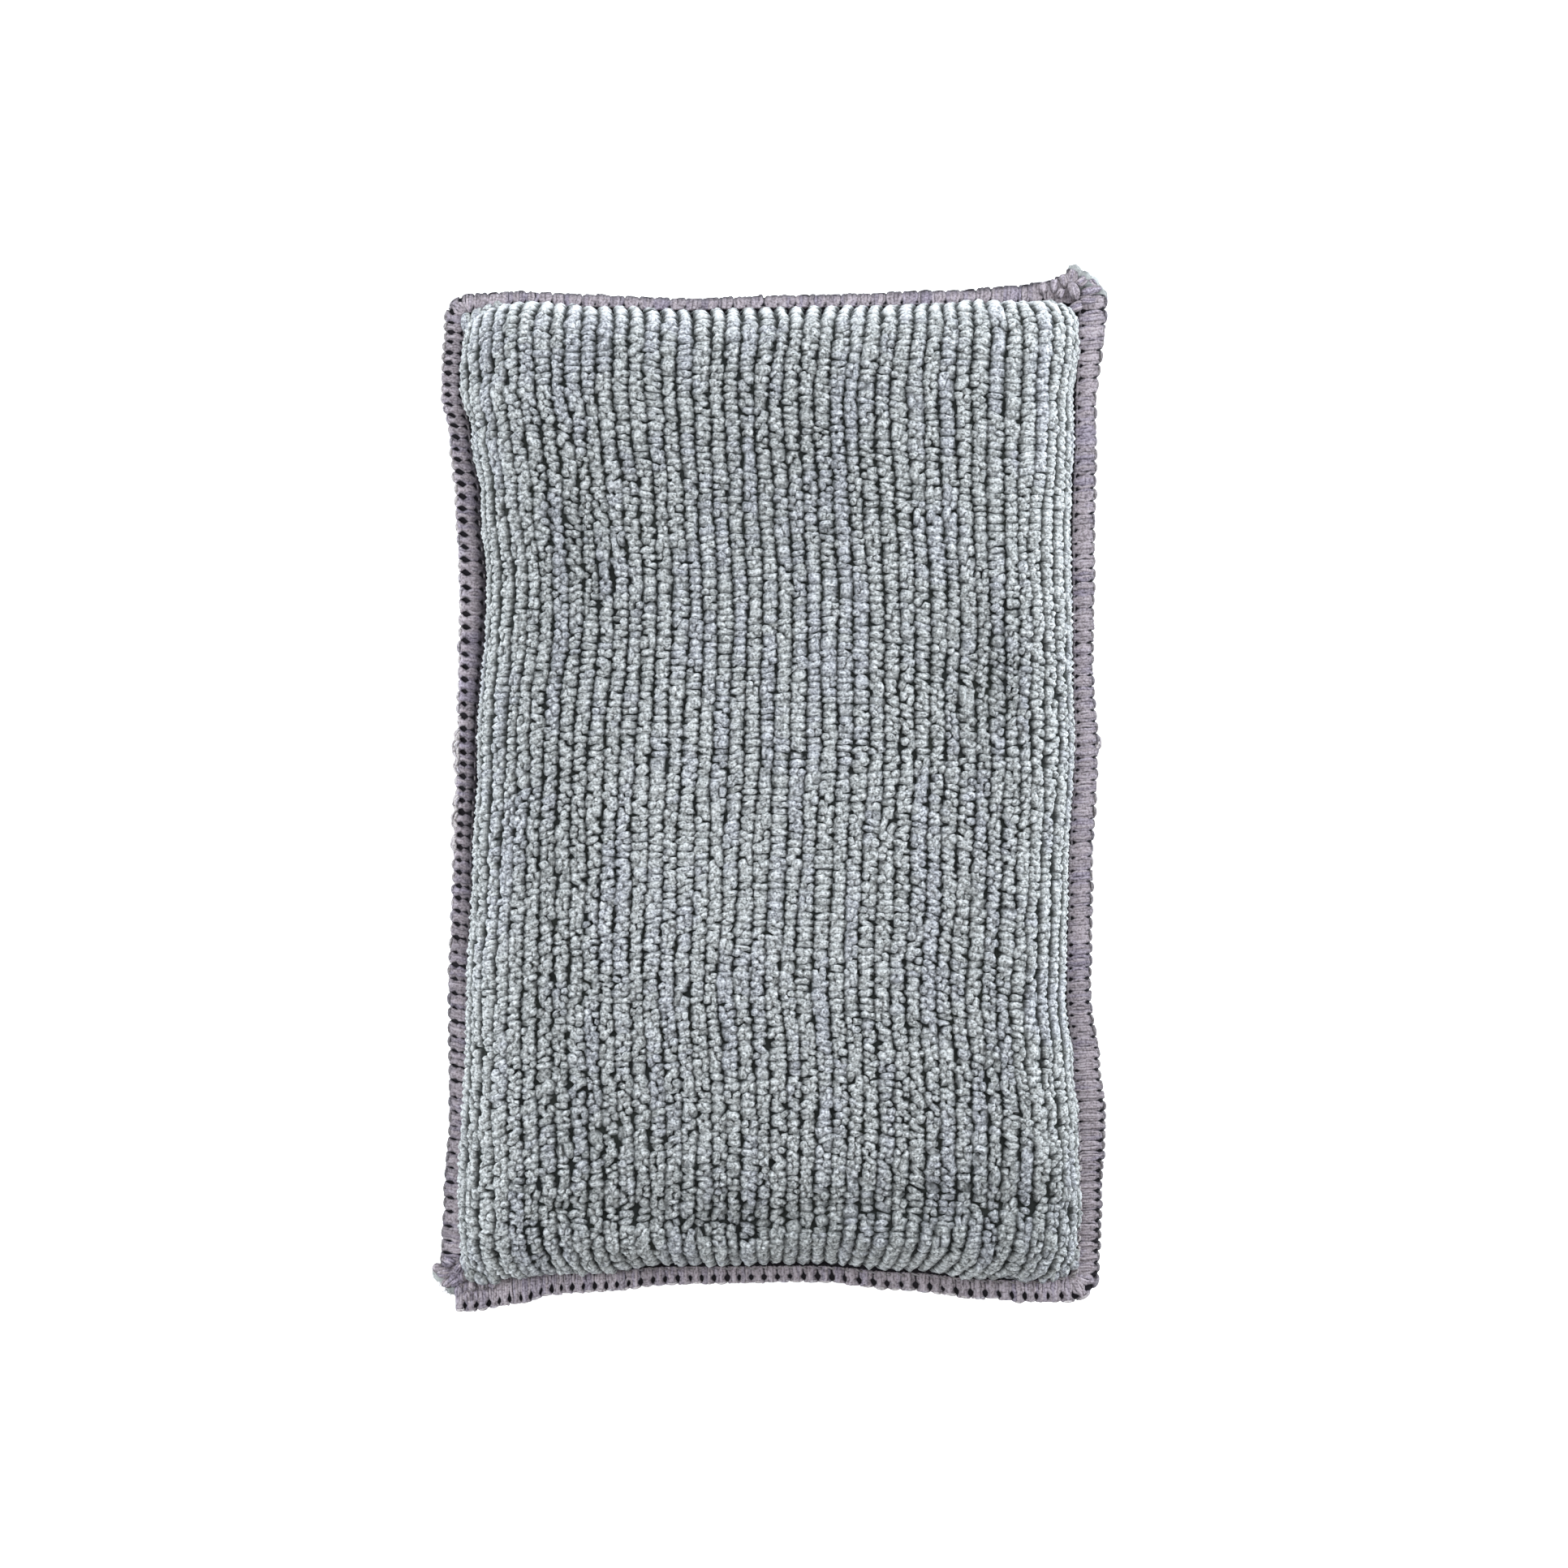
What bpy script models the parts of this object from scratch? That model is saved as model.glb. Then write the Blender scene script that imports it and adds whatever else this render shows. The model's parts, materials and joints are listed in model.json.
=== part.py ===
"""Microfibre scrub pad: two ribbed cloth faces over a soft filling, overlocked together round the edge.

Run it with:  blender --background --python part.py
Units are metres. +X is the pad's width, +Y its length and +Z up. It lies on its back face,
and the origin is the bottom centre of its bounding box.
"""

import math
from collections import namedtuple

import bpy
from mathutils import Vector

# Driving sizes
HALF_WIDTH = 0.0500  # centre line to the outer edge of the overlocking, before any draw
HALF_LENGTH = 0.0770
SEAM_HEIGHT = 0.0095  # the seam's height above the surface that the pad lies on
FRONT_RISE = 0.0105  # from the seam to the top of the front face
BACK_DROP = 0.0110  # from the seam to the back face, before it is pressed flat on the surface
RIB_COUNT = 46  # ribs across one face, side seam to side seam
RIB_DEPTH = 0.0009  # crest to valley

# The cloth's path from the seam to the flat of a face
SHOULDER_ARC = 0.018  # length of cloth that turns from the seam to the flat
SEAM_LIFT_DEG = 50.0  # slope at which the cloth leaves the seam, outwards
SHOULDER_EASE = 1.5  # above 1, the turn is quicker near the seam
SHOULDER_STEPS = 72
CROWN_SHARE = 0.12  # share of the rise that is a crown over the whole face

# The grid that a face is built on
ROW_COUNT = 30  # along the length, closer together near both ends
SEAM_RIB_LIMIT = 0.35  # near the seam a rib is no deeper than this share of the face's rise
RIB_WANDER = 0.00014  # how far a rib strays to either side
RIB_WANDER_WAVE = 0.055
RIB_WANDER_TURN = 2.4  # the change of phase from one rib to the next, in radians

# Both ends of a face are gathered into the seam, so the ribs lean towards the middle there
GATHER_BOTTOM = 0.0045
GATHER_BOTTOM_REACH = 0.014
GATHER_TOP = 0.0020
GATHER_TOP_REACH = 0.005
GATHER_PEAK = 0.385  # greatest value of the curve that spreads the gather over the width
NORMAL_STEP = 0.0002

# The overlocked band round the edge
BAND_GAP = 0.0011  # from the seam line to the band's inner edge, clear of the bulging faces
CORNER_GAP = 0.0005  # the same at a corner, where the faces are pinched flat
CORNER_REACH = 0.010
BAND_THICKNESS = 0.0022
BAND_STEP = 0.0042  # spacing of the band's cross-sections
CORNER_STEPS = 7
LEFT_RUN_TAIL = 0.0001  # how far each run goes on past the seam's corner
TOP_RUN_TAIL = 0.0002
BOTTOM_RUN_TAIL = 0.0018
RIGHT_RUN_TAIL = 0.0018

Station = namedtuple("Station", "place draw band lean")
Dent = namedtuple("Dent", "x y reach_x reach_y depth")
Tuft = namedtuple("Tuft", "x y z radius_x radius_y radius_z tip_angle tip_reach")

# One row for each place along a side, from -1 at its lower or left end to 1 at the other.
# draw: how far the outer edge is drawn in; band: overlocked width; lean: degrees up from level.
LEFT_SIDE = (
    Station(-1.00, -0.0004, 0.0044, 2),
    Station(-0.84, 0.0002, 0.0041, 0),
    Station(-0.66, 0.0009, 0.0036, -4),
    Station(-0.40, 0.0008, 0.0038, -4),
    Station(-0.15, 0.0014, 0.0039, -6),
    Station(0.08, 0.0020, 0.0040, -4),
    Station(0.42, 0.0023, 0.0050, 4),
    Station(0.62, 0.0017, 0.0046, 4),
    Station(0.74, 0.0008, 0.0042, 0),
    Station(0.84, -0.0005, 0.0043, -4),
    Station(1.00, 0.0001, 0.0038, -8),
)
RIGHT_SIDE = (
    Station(-1.00, 0.0009, 0.0046, 8),
    Station(-0.84, 0.0005, 0.0050, 10),
    Station(-0.68, -0.0002, 0.0056, 12),
    Station(-0.56, 0.0008, 0.0050, 8),
    Station(-0.43, 0.0021, 0.0046, 6),
    Station(-0.20, 0.0019, 0.0045, 4),
    Station(0.10, 0.0010, 0.0045, 2),
    Station(0.24, 0.0017, 0.0040, 0),
    Station(0.50, 0.0014, 0.0044, 0),
    Station(0.78, 0.0012, 0.0041, 0),
    Station(1.00, -0.0004, 0.0048, 2),
)
TOP_SIDE = (
    Station(-1.00, 0.0004, 0.0035, -10),
    Station(-0.84, -0.0001, 0.0034, -14),
    Station(-0.62, 0.0004, 0.0033, -16),
    Station(-0.30, 0.0010, 0.0032, -16),
    Station(0.10, 0.0005, 0.0033, -14),
    Station(0.60, -0.0002, 0.0035, -10),
    Station(0.82, -0.0009, 0.0041, -4),
    Station(0.92, -0.0016, 0.0044, 0),
    Station(1.00, -0.0033, 0.0056, 0),
)
BOTTOM_SIDE = (
    Station(-1.00, -0.0006, 0.0056, 0),
    Station(-0.84, 0.0005, 0.0053, 4),
    Station(-0.72, 0.0019, 0.0047, 4),
    Station(-0.58, 0.0023, 0.0042, 2),
    Station(-0.30, 0.0035, 0.0037, 0),
    Station(0.15, 0.0038, 0.0035, 0),
    Station(0.45, 0.0026, 0.0037, 0),
    Station(0.72, 0.0012, 0.0040, 2),
    Station(0.88, 0.0007, 0.0042, 4),
    Station(1.00, 0.0008, 0.0044, 6),
)

# Soft troughs in the front face: the crease above the bottom edge, and where a thumb has pressed
DENTS = (
    Dent(-0.012, -0.0625, 0.026, 0.0040, 0.0011),
    Dent(0.027, -0.0600, 0.016, 0.0045, 0.0008),
    Dent(0.031, 0.0150, 0.010, 0.0120, 0.0008),
    Dent(-0.033, 0.0380, 0.010, 0.0150, 0.0006),
    Dent(0.004, 0.0460, 0.022, 0.0120, 0.0005),
    Dent(-0.036, -0.0280, 0.006, 0.0300, 0.0005),
)

# The cloth's cut corners, which poke out where the two overlocked runs end
TOP_RIGHT_TUFT = Tuft(0.0480, 0.0784, 0.0098, 0.0017, 0.0016, 0.0013, 125, 0.0008)
BOTTOM_LEFT_TUFT = Tuft(-0.0494, -0.0744, 0.0094, 0.0013, 0.0013, 0.0012, 160, 0.0009)
TUFT_LUMP = 0.14  # depth of a tuft's lumps, as a share of its radius

FACE_COLOUR = (0.36, 0.39, 0.41, 1.0)
OVERLOCK_COLOUR = (0.33, 0.29, 0.34, 1.0)
TUFT_COLOUR = (0.40, 0.42, 0.41, 1.0)


def smooth_column(stations, name, place):
    """A column of a side's table at a place along it, eased from row to row."""
    if place <= stations[0].place:
        return getattr(stations[0], name)
    for before, after in zip(stations, stations[1:]):
        if place <= after.place:
            share = (place - before.place) / (after.place - before.place)
            share = share * share * (3 - 2 * share)
            low, high = getattr(before, name), getattr(after, name)
            return low + (high - low) * share
    return getattr(stations[-1], name)


def shoulder_table():
    """(inset, rise) of the cloth at equal steps of arc, from the seam to the flat."""
    step = SHOULDER_ARC / SHOULDER_STEPS
    inset, rise = 0.0, 0.0
    table = [(inset, rise)]
    for index in range(SHOULDER_STEPS):
        left_to_turn = 1 - (index + 0.5) / SHOULDER_STEPS
        slope = math.radians(180 - (180 - SEAM_LIFT_DEG) * left_to_turn**SHOULDER_EASE)
        inset -= math.cos(slope) * step
        rise += math.sin(slope) * step
        table.append((inset, rise))
    return table


SHOULDER = shoulder_table()
ARC_SAVED = SHOULDER_ARC - SHOULDER[-1][0]  # cloth taken up by one shoulder


def shoulder(arc):
    """(inset, share of the rise) at this length of cloth in from the seam."""
    inset_end, rise_end = SHOULDER[-1]
    if arc >= SHOULDER_ARC:
        return inset_end + arc - SHOULDER_ARC, 1.0
    index, share = divmod(arc / SHOULDER_ARC * SHOULDER_STEPS, 1)
    before, after = SHOULDER[int(index)], SHOULDER[int(index) + 1]
    inset = before[0] + (after[0] - before[0]) * share
    rise = before[1] + (after[1] - before[1]) * share
    return inset, rise / rise_end


def seam_corner(side, level, end_x, end_y):
    """Where two seam lines meet, from one side's table and one level's table."""
    x = HALF_WIDTH - side.draw - side.band
    y = HALF_LENGTH - level.draw - level.band
    return Vector((end_x * x, end_y * y))


CORNERS = {
    "bottom_left": seam_corner(LEFT_SIDE[0], BOTTOM_SIDE[0], -1, -1),
    "top_left": seam_corner(LEFT_SIDE[-1], TOP_SIDE[0], -1, 1),
    "bottom_right": seam_corner(RIGHT_SIDE[0], BOTTOM_SIDE[-1], 1, -1),
    "top_right": seam_corner(RIGHT_SIDE[-1], TOP_SIDE[-1], 1, 1),
}
SEAM_HALF_WIDTH = 0.25 * (
    CORNERS["top_right"].x
    + CORNERS["bottom_right"].x
    - CORNERS["top_left"].x
    - CORNERS["bottom_left"].x
)
SEAM_HALF_LENGTH = 0.25 * (
    CORNERS["top_right"].y
    + CORNERS["top_left"].y
    - CORNERS["bottom_right"].y
    - CORNERS["bottom_left"].y
)
HALF_ARC_ACROSS = SEAM_HALF_WIDTH + ARC_SAVED
HALF_ARC_ALONG = SEAM_HALF_LENGTH + ARC_SAVED


def side_point(side, place):
    """A point of the seam line on one side, at a place from -1 to 1."""
    share = 0.5 * (place + 1)
    if side in ("left", "right"):
        stations, sign = (LEFT_SIDE, -1) if side == "left" else (RIGHT_SIDE, 1)
        low, high = CORNERS["bottom_" + side], CORNERS["top_" + side]
        inward = smooth_column(stations, "draw", place) + smooth_column(stations, "band", place)
        return Vector((sign * (HALF_WIDTH - inward), low.y + (high.y - low.y) * share))
    stations, sign = (BOTTOM_SIDE, -1) if side == "bottom" else (TOP_SIDE, 1)
    low, high = CORNERS[side + "_left"], CORNERS[side + "_right"]
    inward = smooth_column(stations, "draw", place) + smooth_column(stations, "band", place)
    return Vector((low.x + (high.x - low.x) * share, sign * (HALF_LENGTH - inward)))


def spread(across, along):
    """The point of the pad's outline plane at shares from -1 to 1, blended from its four sides."""
    right, up = 0.5 * (across + 1), 0.5 * (along + 1)
    left, down = 1 - right, 1 - up
    from_sides = side_point("left", along) * left + side_point("right", along) * right
    from_ends = side_point("bottom", across) * down + side_point("top", across) * up
    from_corners = (
        CORNERS["bottom_left"] * (left * down)
        + CORNERS["bottom_right"] * (right * down)
        + CORNERS["top_left"] * (left * up)
        + CORNERS["top_right"] * (right * up)
    )
    return from_sides + from_ends - from_corners


def share_from_arc(arc, half_arc, fullness):
    """Share from -1 to 1 for a cloth position measured from the centre. Where the face is pinched
    flat, at fullness 0, the cloth spreads evenly in place of bulging over the seam."""
    from_seam = half_arc - abs(arc)
    half_reach = half_arc - ARC_SAVED
    bulged = shoulder(from_seam)[0]
    flat = from_seam * half_reach / half_arc
    inset = flat + (bulged - flat) * fullness
    return math.copysign(1 - inset / half_reach, arc)


def rise_share(arc, half_arc):
    """How much of its full height a face has at a cloth position measured from the centre."""
    from_seam = half_arc - abs(arc)
    crown = math.sin(0.5 * math.pi * from_seam / half_arc)
    return (1 - CROWN_SHARE) * shoulder(from_seam)[1] + CROWN_SHARE * crown


def dent_depth(x, y):
    """How far the soft troughs lower the front face."""
    total = 0.0
    for dent in DENTS:
        reach = ((x - dent.x) / dent.reach_x) ** 2 + ((y - dent.y) / dent.reach_y) ** 2
        total += dent.depth * math.exp(-reach)
    return total


def face_point(across, along, front):
    """A point of a face's rib crests, from cloth positions measured from the face's centre."""
    rise_across = rise_share(across, HALF_ARC_ACROSS)
    rise_along = rise_share(along, HALF_ARC_ALONG)
    point = spread(
        share_from_arc(across, HALF_ARC_ACROSS, math.sqrt(rise_along)),
        share_from_arc(along, HALF_ARC_ALONG, math.sqrt(rise_across)),
    )
    share = rise_across * rise_along
    if front:
        height = SEAM_HEIGHT + share * (FRONT_RISE - dent_depth(point.x, point.y))
    else:
        height = SEAM_HEIGHT - share * BACK_DROP
    return Vector((point.x, point.y, height))


def face_normal(across, along, front):
    """The outward direction of a face, by small differences."""
    step_across = -math.copysign(NORMAL_STEP, across)
    step_along = -math.copysign(NORMAL_STEP, along)
    here = face_point(across, along, front)
    over = (face_point(across + step_across, along, front) - here) * math.copysign(1, step_across)
    up = (face_point(across, along + step_along, front) - here) * math.copysign(1, step_along)
    normal = over.cross(up) if front else up.cross(over)
    return normal.normalized()


def gathered(across, along):
    """The cloth position across the face, drawn towards the middle near both ends."""
    from_bottom = along + HALF_ARC_ALONG
    from_top = HALF_ARC_ALONG - along
    pull = GATHER_BOTTOM * math.exp(-from_bottom / GATHER_BOTTOM_REACH)
    pull += GATHER_TOP * math.exp(-from_top / GATHER_TOP_REACH)
    share = across / HALF_ARC_ACROSS
    return across - pull * share * (1 - share * share) / GATHER_PEAK


def ribbed_point(column, row, front):
    """The grid point of a face: a crest on odd columns, and a valley on even ones."""
    along = -HALF_ARC_ALONG * math.cos(math.pi * row / ROW_COUNT)
    across = gathered(HALF_ARC_ACROSS * (column / RIB_COUNT - 1), along)
    if 0 < column < 2 * RIB_COUNT and 0 < row < ROW_COUNT:
        fade = rise_share(across, HALF_ARC_ACROSS)
        phase = 2 * math.pi * along / RIB_WANDER_WAVE + column * 0.5 * RIB_WANDER_TURN
        across += RIB_WANDER * fade * math.sin(phase)
    point = face_point(across, along, front)
    on_seam = column in (0, 2 * RIB_COUNT) or row in (0, ROW_COUNT)
    if column % 2 == 0 and not on_seam:
        depth = min(RIB_DEPTH, SEAM_RIB_LIMIT * abs(point.z - SEAM_HEIGHT))
        point -= face_normal(across, along, front) * depth
    point.z = max(point.z, 0.0)  # the back face is pressed flat where the pad rests
    return point


def add_object(name, points, faces, material):
    """A named mesh object with smooth shading kept off its sharp edges."""
    mesh = bpy.data.meshes.new(name)
    mesh.from_pydata([tuple(point) for point in points], [], faces)
    mesh.shade_smooth()
    mesh.set_sharp_from_angle(angle=math.radians(50))
    mesh.materials.append(material)
    made = bpy.data.objects.new(name, mesh)
    bpy.context.scene.collection.objects.link(made)
    return made


def add_material(name, colour):
    """A matt cloth or thread finish."""
    material = bpy.data.materials.new(name)
    material.use_nodes = True
    shader = material.node_tree.nodes["Principled BSDF"]
    shader.inputs["Base Color"].default_value = colour
    shader.inputs["Roughness"].default_value = 0.9
    material.diffuse_color = colour
    return material


def build_pad_body(material):
    """Both ribbed faces and their filling, as one closed solid that meets at the seam line."""
    columns, rows = 2 * RIB_COUNT, ROW_COUNT
    points, index = [], {}
    for front in (True, False):
        for row in range(rows + 1):
            for column in range(columns + 1):
                on_seam = column in (0, columns) or row in (0, rows)
                if on_seam and not front:
                    index[column, row, front] = index[column, row, True]
                    continue
                index[column, row, front] = len(points)
                points.append(ribbed_point(column, row, front))
    faces = []
    for row in range(rows):
        for column in range(columns):
            corners = ((column, row), (column + 1, row), (column + 1, row + 1), (column, row + 1))
            faces.append([index[c, r, True] for c, r in corners])
            faces.append([index[c, r, False] for c, r in reversed(corners)])
    return add_object("pad_body", points, faces, material)


def side_stations(side, first, last):
    """(seam point, outward direction, gap, band width, lean) along a side, between two places."""
    stations = {"left": LEFT_SIDE, "right": RIGHT_SIDE, "top": TOP_SIDE, "bottom": BOTTOM_SIDE}[side]
    outward = {"left": (-1, 0), "right": (1, 0), "top": (0, 1), "bottom": (0, -1)}[side]
    length = 2 * (SEAM_HALF_LENGTH if side in ("left", "right") else SEAM_HALF_WIDTH)
    count = round(length / BAND_STEP)
    found = []
    for number in range(count + 1):
        place = first + (last - first) * number / count
        within = max(-1.0, min(1.0, place))
        point = side_point(side, within)
        beyond = (place - within) * 0.5 * length
        point += Vector((0, beyond)) if side in ("left", "right") else Vector((beyond, 0))
        from_corner = min(1.0, 0.5 * length * (1 - abs(within)) / CORNER_REACH)
        gap = CORNER_GAP + (BAND_GAP - CORNER_GAP) * math.sqrt(from_corner)
        band = smooth_column(stations, "band", within)
        lean = math.radians(smooth_column(stations, "lean", within))
        found.append((point, Vector(outward), gap, band, lean))
    return found


def corner_stations(before, after):
    """Stations that fan round a corner, from the end of one side to the start of the next."""
    start = math.atan2(before[1].y, before[1].x)
    turn = math.remainder(math.atan2(after[1].y, after[1].x) - start, 2 * math.pi)
    found = []
    for number in range(1, CORNER_STEPS):
        share = number / CORNER_STEPS
        angle = start + turn * share
        point = before[0].lerp(after[0], share)
        outward = Vector((math.cos(angle), math.sin(angle)))
        rest = [low + (high - low) * share for low, high in zip(before[2:], after[2:])]
        found.append((point, outward, *rest))
    return found


def band_section(point, outward, gap, band, lean):
    """The eight-sided outline of the overlocked band where it crosses one station."""
    half = 0.5 * BAND_THICKNESS
    outline = (
        (gap, -0.55 * half),
        (gap + 0.25 * half, -0.85 * half),
        (0.80 * band, -half),
        (band, -0.45 * half),
        (band, 0.45 * half),
        (0.80 * band, half),
        (gap + 0.25 * half, 0.85 * half),
        (gap, 0.55 * half),
    )
    section = []
    for reach, lift in outline:
        out = reach * math.cos(lean) - lift * math.sin(lean)
        up = reach * math.sin(lean) + lift * math.cos(lean)
        flat = point + outward * out
        section.append(Vector((flat.x, flat.y, SEAM_HEIGHT + up)))
    return section


def build_band(name, stations, material):
    """One run of overlocking, as a closed strip with square ends."""
    sections = [band_section(*station) for station in stations]
    sides = len(sections[0])
    points = [point for section in sections for point in section]
    faces = [list(range(sides)), list(range(len(points) - 1, len(points) - sides - 1, -1))]
    for number in range(len(sections) - 1):
        base = number * sides
        for side in range(sides):
            after = (side + 1) % sides
            faces.append([base + after, base + side, base + sides + side, base + sides + after])
    run = add_object(name, points, faces, material)
    face_outwards(run.data)
    return run


def face_outwards(mesh):
    """Turns a closed mesh's faces the right way round."""
    volume = 0.0
    mesh.calc_loop_triangles()
    for triangle in mesh.loop_triangles:
        a, b, c = (mesh.vertices[number].co for number in triangle.vertices)
        volume += a.dot(b.cross(c))
    if volume < 0:
        mesh.flip_normals()


def build_left_and_top_run(material):
    """The run that goes up the left side, round the rounded corner and along the top."""
    half_side, half_top = SEAM_HALF_LENGTH, SEAM_HALF_WIDTH
    left = side_stations("left", -1 - LEFT_RUN_TAIL / half_side, 1)
    top = side_stations("top", -1, 1 + TOP_RUN_TAIL / half_top)
    return build_band("overlock_left_top", left + corner_stations(left[-1], top[0]) + top, material)


def build_bottom_and_right_run(material):
    """The run that goes along the bottom, round the other rounded corner and up the right side."""
    bottom = side_stations("bottom", -1 - BOTTOM_RUN_TAIL / SEAM_HALF_WIDTH, 1)
    right = side_stations("right", -1, 1 + RIGHT_RUN_TAIL / SEAM_HALF_LENGTH)
    stations = bottom + corner_stations(bottom[-1], right[0]) + right
    return build_band("overlock_bottom_right", stations, material)


def build_tuft(name, tuft, material):
    """A lump of cut cloth and thread ends that is drawn out to a blunt tip."""
    rings, sides = 7, 10
    tip = Vector((math.cos(math.radians(tuft.tip_angle)), math.sin(math.radians(tuft.tip_angle)), 0.0))
    points = []
    for ring in range(rings + 1):
        polar = math.pi * ring / rings
        for side in range(sides if 0 < ring < rings else 1):
            turn = 2 * math.pi * side / sides
            way = Vector((math.sin(polar) * math.cos(turn), math.sin(polar) * math.sin(turn), math.cos(polar)))
            lump = 1 + TUFT_LUMP * math.sin(3 * turn + 2 * ring) * math.sin(polar)
            towards_tip = max(0.0, way.dot(tip)) ** 3
            reach = way * lump
            point = Vector((reach.x * tuft.radius_x, reach.y * tuft.radius_y, reach.z * tuft.radius_z))
            points.append(Vector((tuft.x, tuft.y, tuft.z)) + point + tip * (towards_tip * tuft.tip_reach))
    faces = []
    for side in range(sides):
        after = (side + 1) % sides
        faces.append([0, 1 + side, 1 + after])
        for ring in range(rings - 2):
            base = 1 + ring * sides
            faces.append([base + side, base + sides + side, base + sides + after, base + after])
        last = 1 + (rings - 2) * sides
        faces.append([last + side, len(points) - 1, last + after])
    made = add_object(name, points, faces, material)
    face_outwards(made.data)
    return made


def stand_on_origin(objects):
    """Places the whole pad so that the origin is the bottom centre of its bounding box."""
    corners = [vertex.co for made in objects for vertex in made.data.vertices]
    low = Vector([min(corner[axis] for corner in corners) for axis in range(3)])
    high = Vector([max(corner[axis] for corner in corners) for axis in range(3)])
    shift = Vector((-0.5 * (low.x + high.x), -0.5 * (low.y + high.y), -low.z))
    for made in objects:
        made.location = shift


def main():
    for old in list(bpy.data.objects):
        bpy.data.objects.remove(old)
    cloth = add_material("microfibre_cloth", FACE_COLOUR)
    thread = add_material("overlock_thread", OVERLOCK_COLOUR)
    tuft = add_material("cut_cloth_tuft", TUFT_COLOUR)
    stand_on_origin(
        [
            build_pad_body(cloth),
            build_left_and_top_run(thread),
            build_bottom_and_right_run(thread),
            build_tuft("corner_tuft_top_right", TOP_RIGHT_TUFT, tuft),
            build_tuft("corner_tuft_bottom_left", BOTTOM_LEFT_TUFT, tuft),
        ]
    )


main()
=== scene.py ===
import json
import math

import bpy
import numpy as np
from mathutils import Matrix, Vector

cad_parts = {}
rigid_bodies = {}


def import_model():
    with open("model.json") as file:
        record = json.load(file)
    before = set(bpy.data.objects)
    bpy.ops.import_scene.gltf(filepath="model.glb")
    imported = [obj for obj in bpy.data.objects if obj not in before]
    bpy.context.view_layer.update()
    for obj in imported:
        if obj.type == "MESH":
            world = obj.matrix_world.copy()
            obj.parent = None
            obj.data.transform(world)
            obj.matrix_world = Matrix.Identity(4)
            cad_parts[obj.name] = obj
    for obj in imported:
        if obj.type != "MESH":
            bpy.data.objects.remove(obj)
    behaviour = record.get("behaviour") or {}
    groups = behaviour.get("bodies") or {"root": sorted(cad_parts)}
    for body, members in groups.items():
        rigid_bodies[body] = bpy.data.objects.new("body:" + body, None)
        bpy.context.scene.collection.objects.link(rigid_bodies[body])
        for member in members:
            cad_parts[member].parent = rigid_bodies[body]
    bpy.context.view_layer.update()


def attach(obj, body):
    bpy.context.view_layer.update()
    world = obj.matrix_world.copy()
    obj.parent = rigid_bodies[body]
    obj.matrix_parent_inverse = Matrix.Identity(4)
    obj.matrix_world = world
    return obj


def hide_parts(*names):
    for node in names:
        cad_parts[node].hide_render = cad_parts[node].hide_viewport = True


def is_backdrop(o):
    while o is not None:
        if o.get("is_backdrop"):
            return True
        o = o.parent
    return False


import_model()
mm = 0.001

# ---- sums used throughout


def bell(distance, reach):
    return np.exp(-((distance / reach) ** 2))


def atPlace(values, place):
    # reads values that stand at even places from -1 to 1
    return np.interp(place, np.linspace(-1, 1, len(values)), values)


def softPatches(rows, x, y):
    # rounded patches added up, each with its x, y, reach in x, reach in y in mm, and amount
    total = np.zeros_like(x)
    for placeX, placeY, reachX, reachY, amount in rows:
        total += amount * bell(x / mm - placeX, reachX) * bell(y / mm - placeY, reachY)
    return total


def unit(vectors):
    return vectors / np.maximum(np.linalg.norm(vectors, axis=-1, keepdims=True), 1e-12)


# ---- the pad's form, as the frame has it


padShape = {
    "centre": (0.476 * mm, -1.497 * mm),  # from the middle of the outline to the frame's origin
    "halfWidth": 50.0 * mm,
    "halfLength": 77.0 * mm,
    "seamHeight": 9.5 * mm,
    "frontRise": 10.5 * mm,
    "backDrop": 11.0 * mm,
    "crownShare": 0.12,
    "shoulderArc": 18.0 * mm,  # cloth that turns from the seam to the flat of a face
    "seamLift": 50.0,  # slope at which it leaves the seam, in degrees
    "shoulderEase": 1.5,
    "gatherBottom": (4.5 * mm, 14.0 * mm),  # how far the ribs are drawn in, and how far up that reaches
    "gatherTop": (1.0 * mm, 9.0 * mm),
    "rollBottom": 4.0 * mm,  # how far the roll of the cloth to the seam would draw them in by itself
    "rollTop": 5.5 * mm,
    "rollReach": 4.5 * mm,
    "gatherLean": 0.6,  # how much more the top is gathered on the right than in the middle
    "bulge": (6.5 * mm, 4.5 * mm),  # how far from the seam the bulge over the overlocking is, and its reach
    "bandThickness": 2.2 * mm,
}

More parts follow.
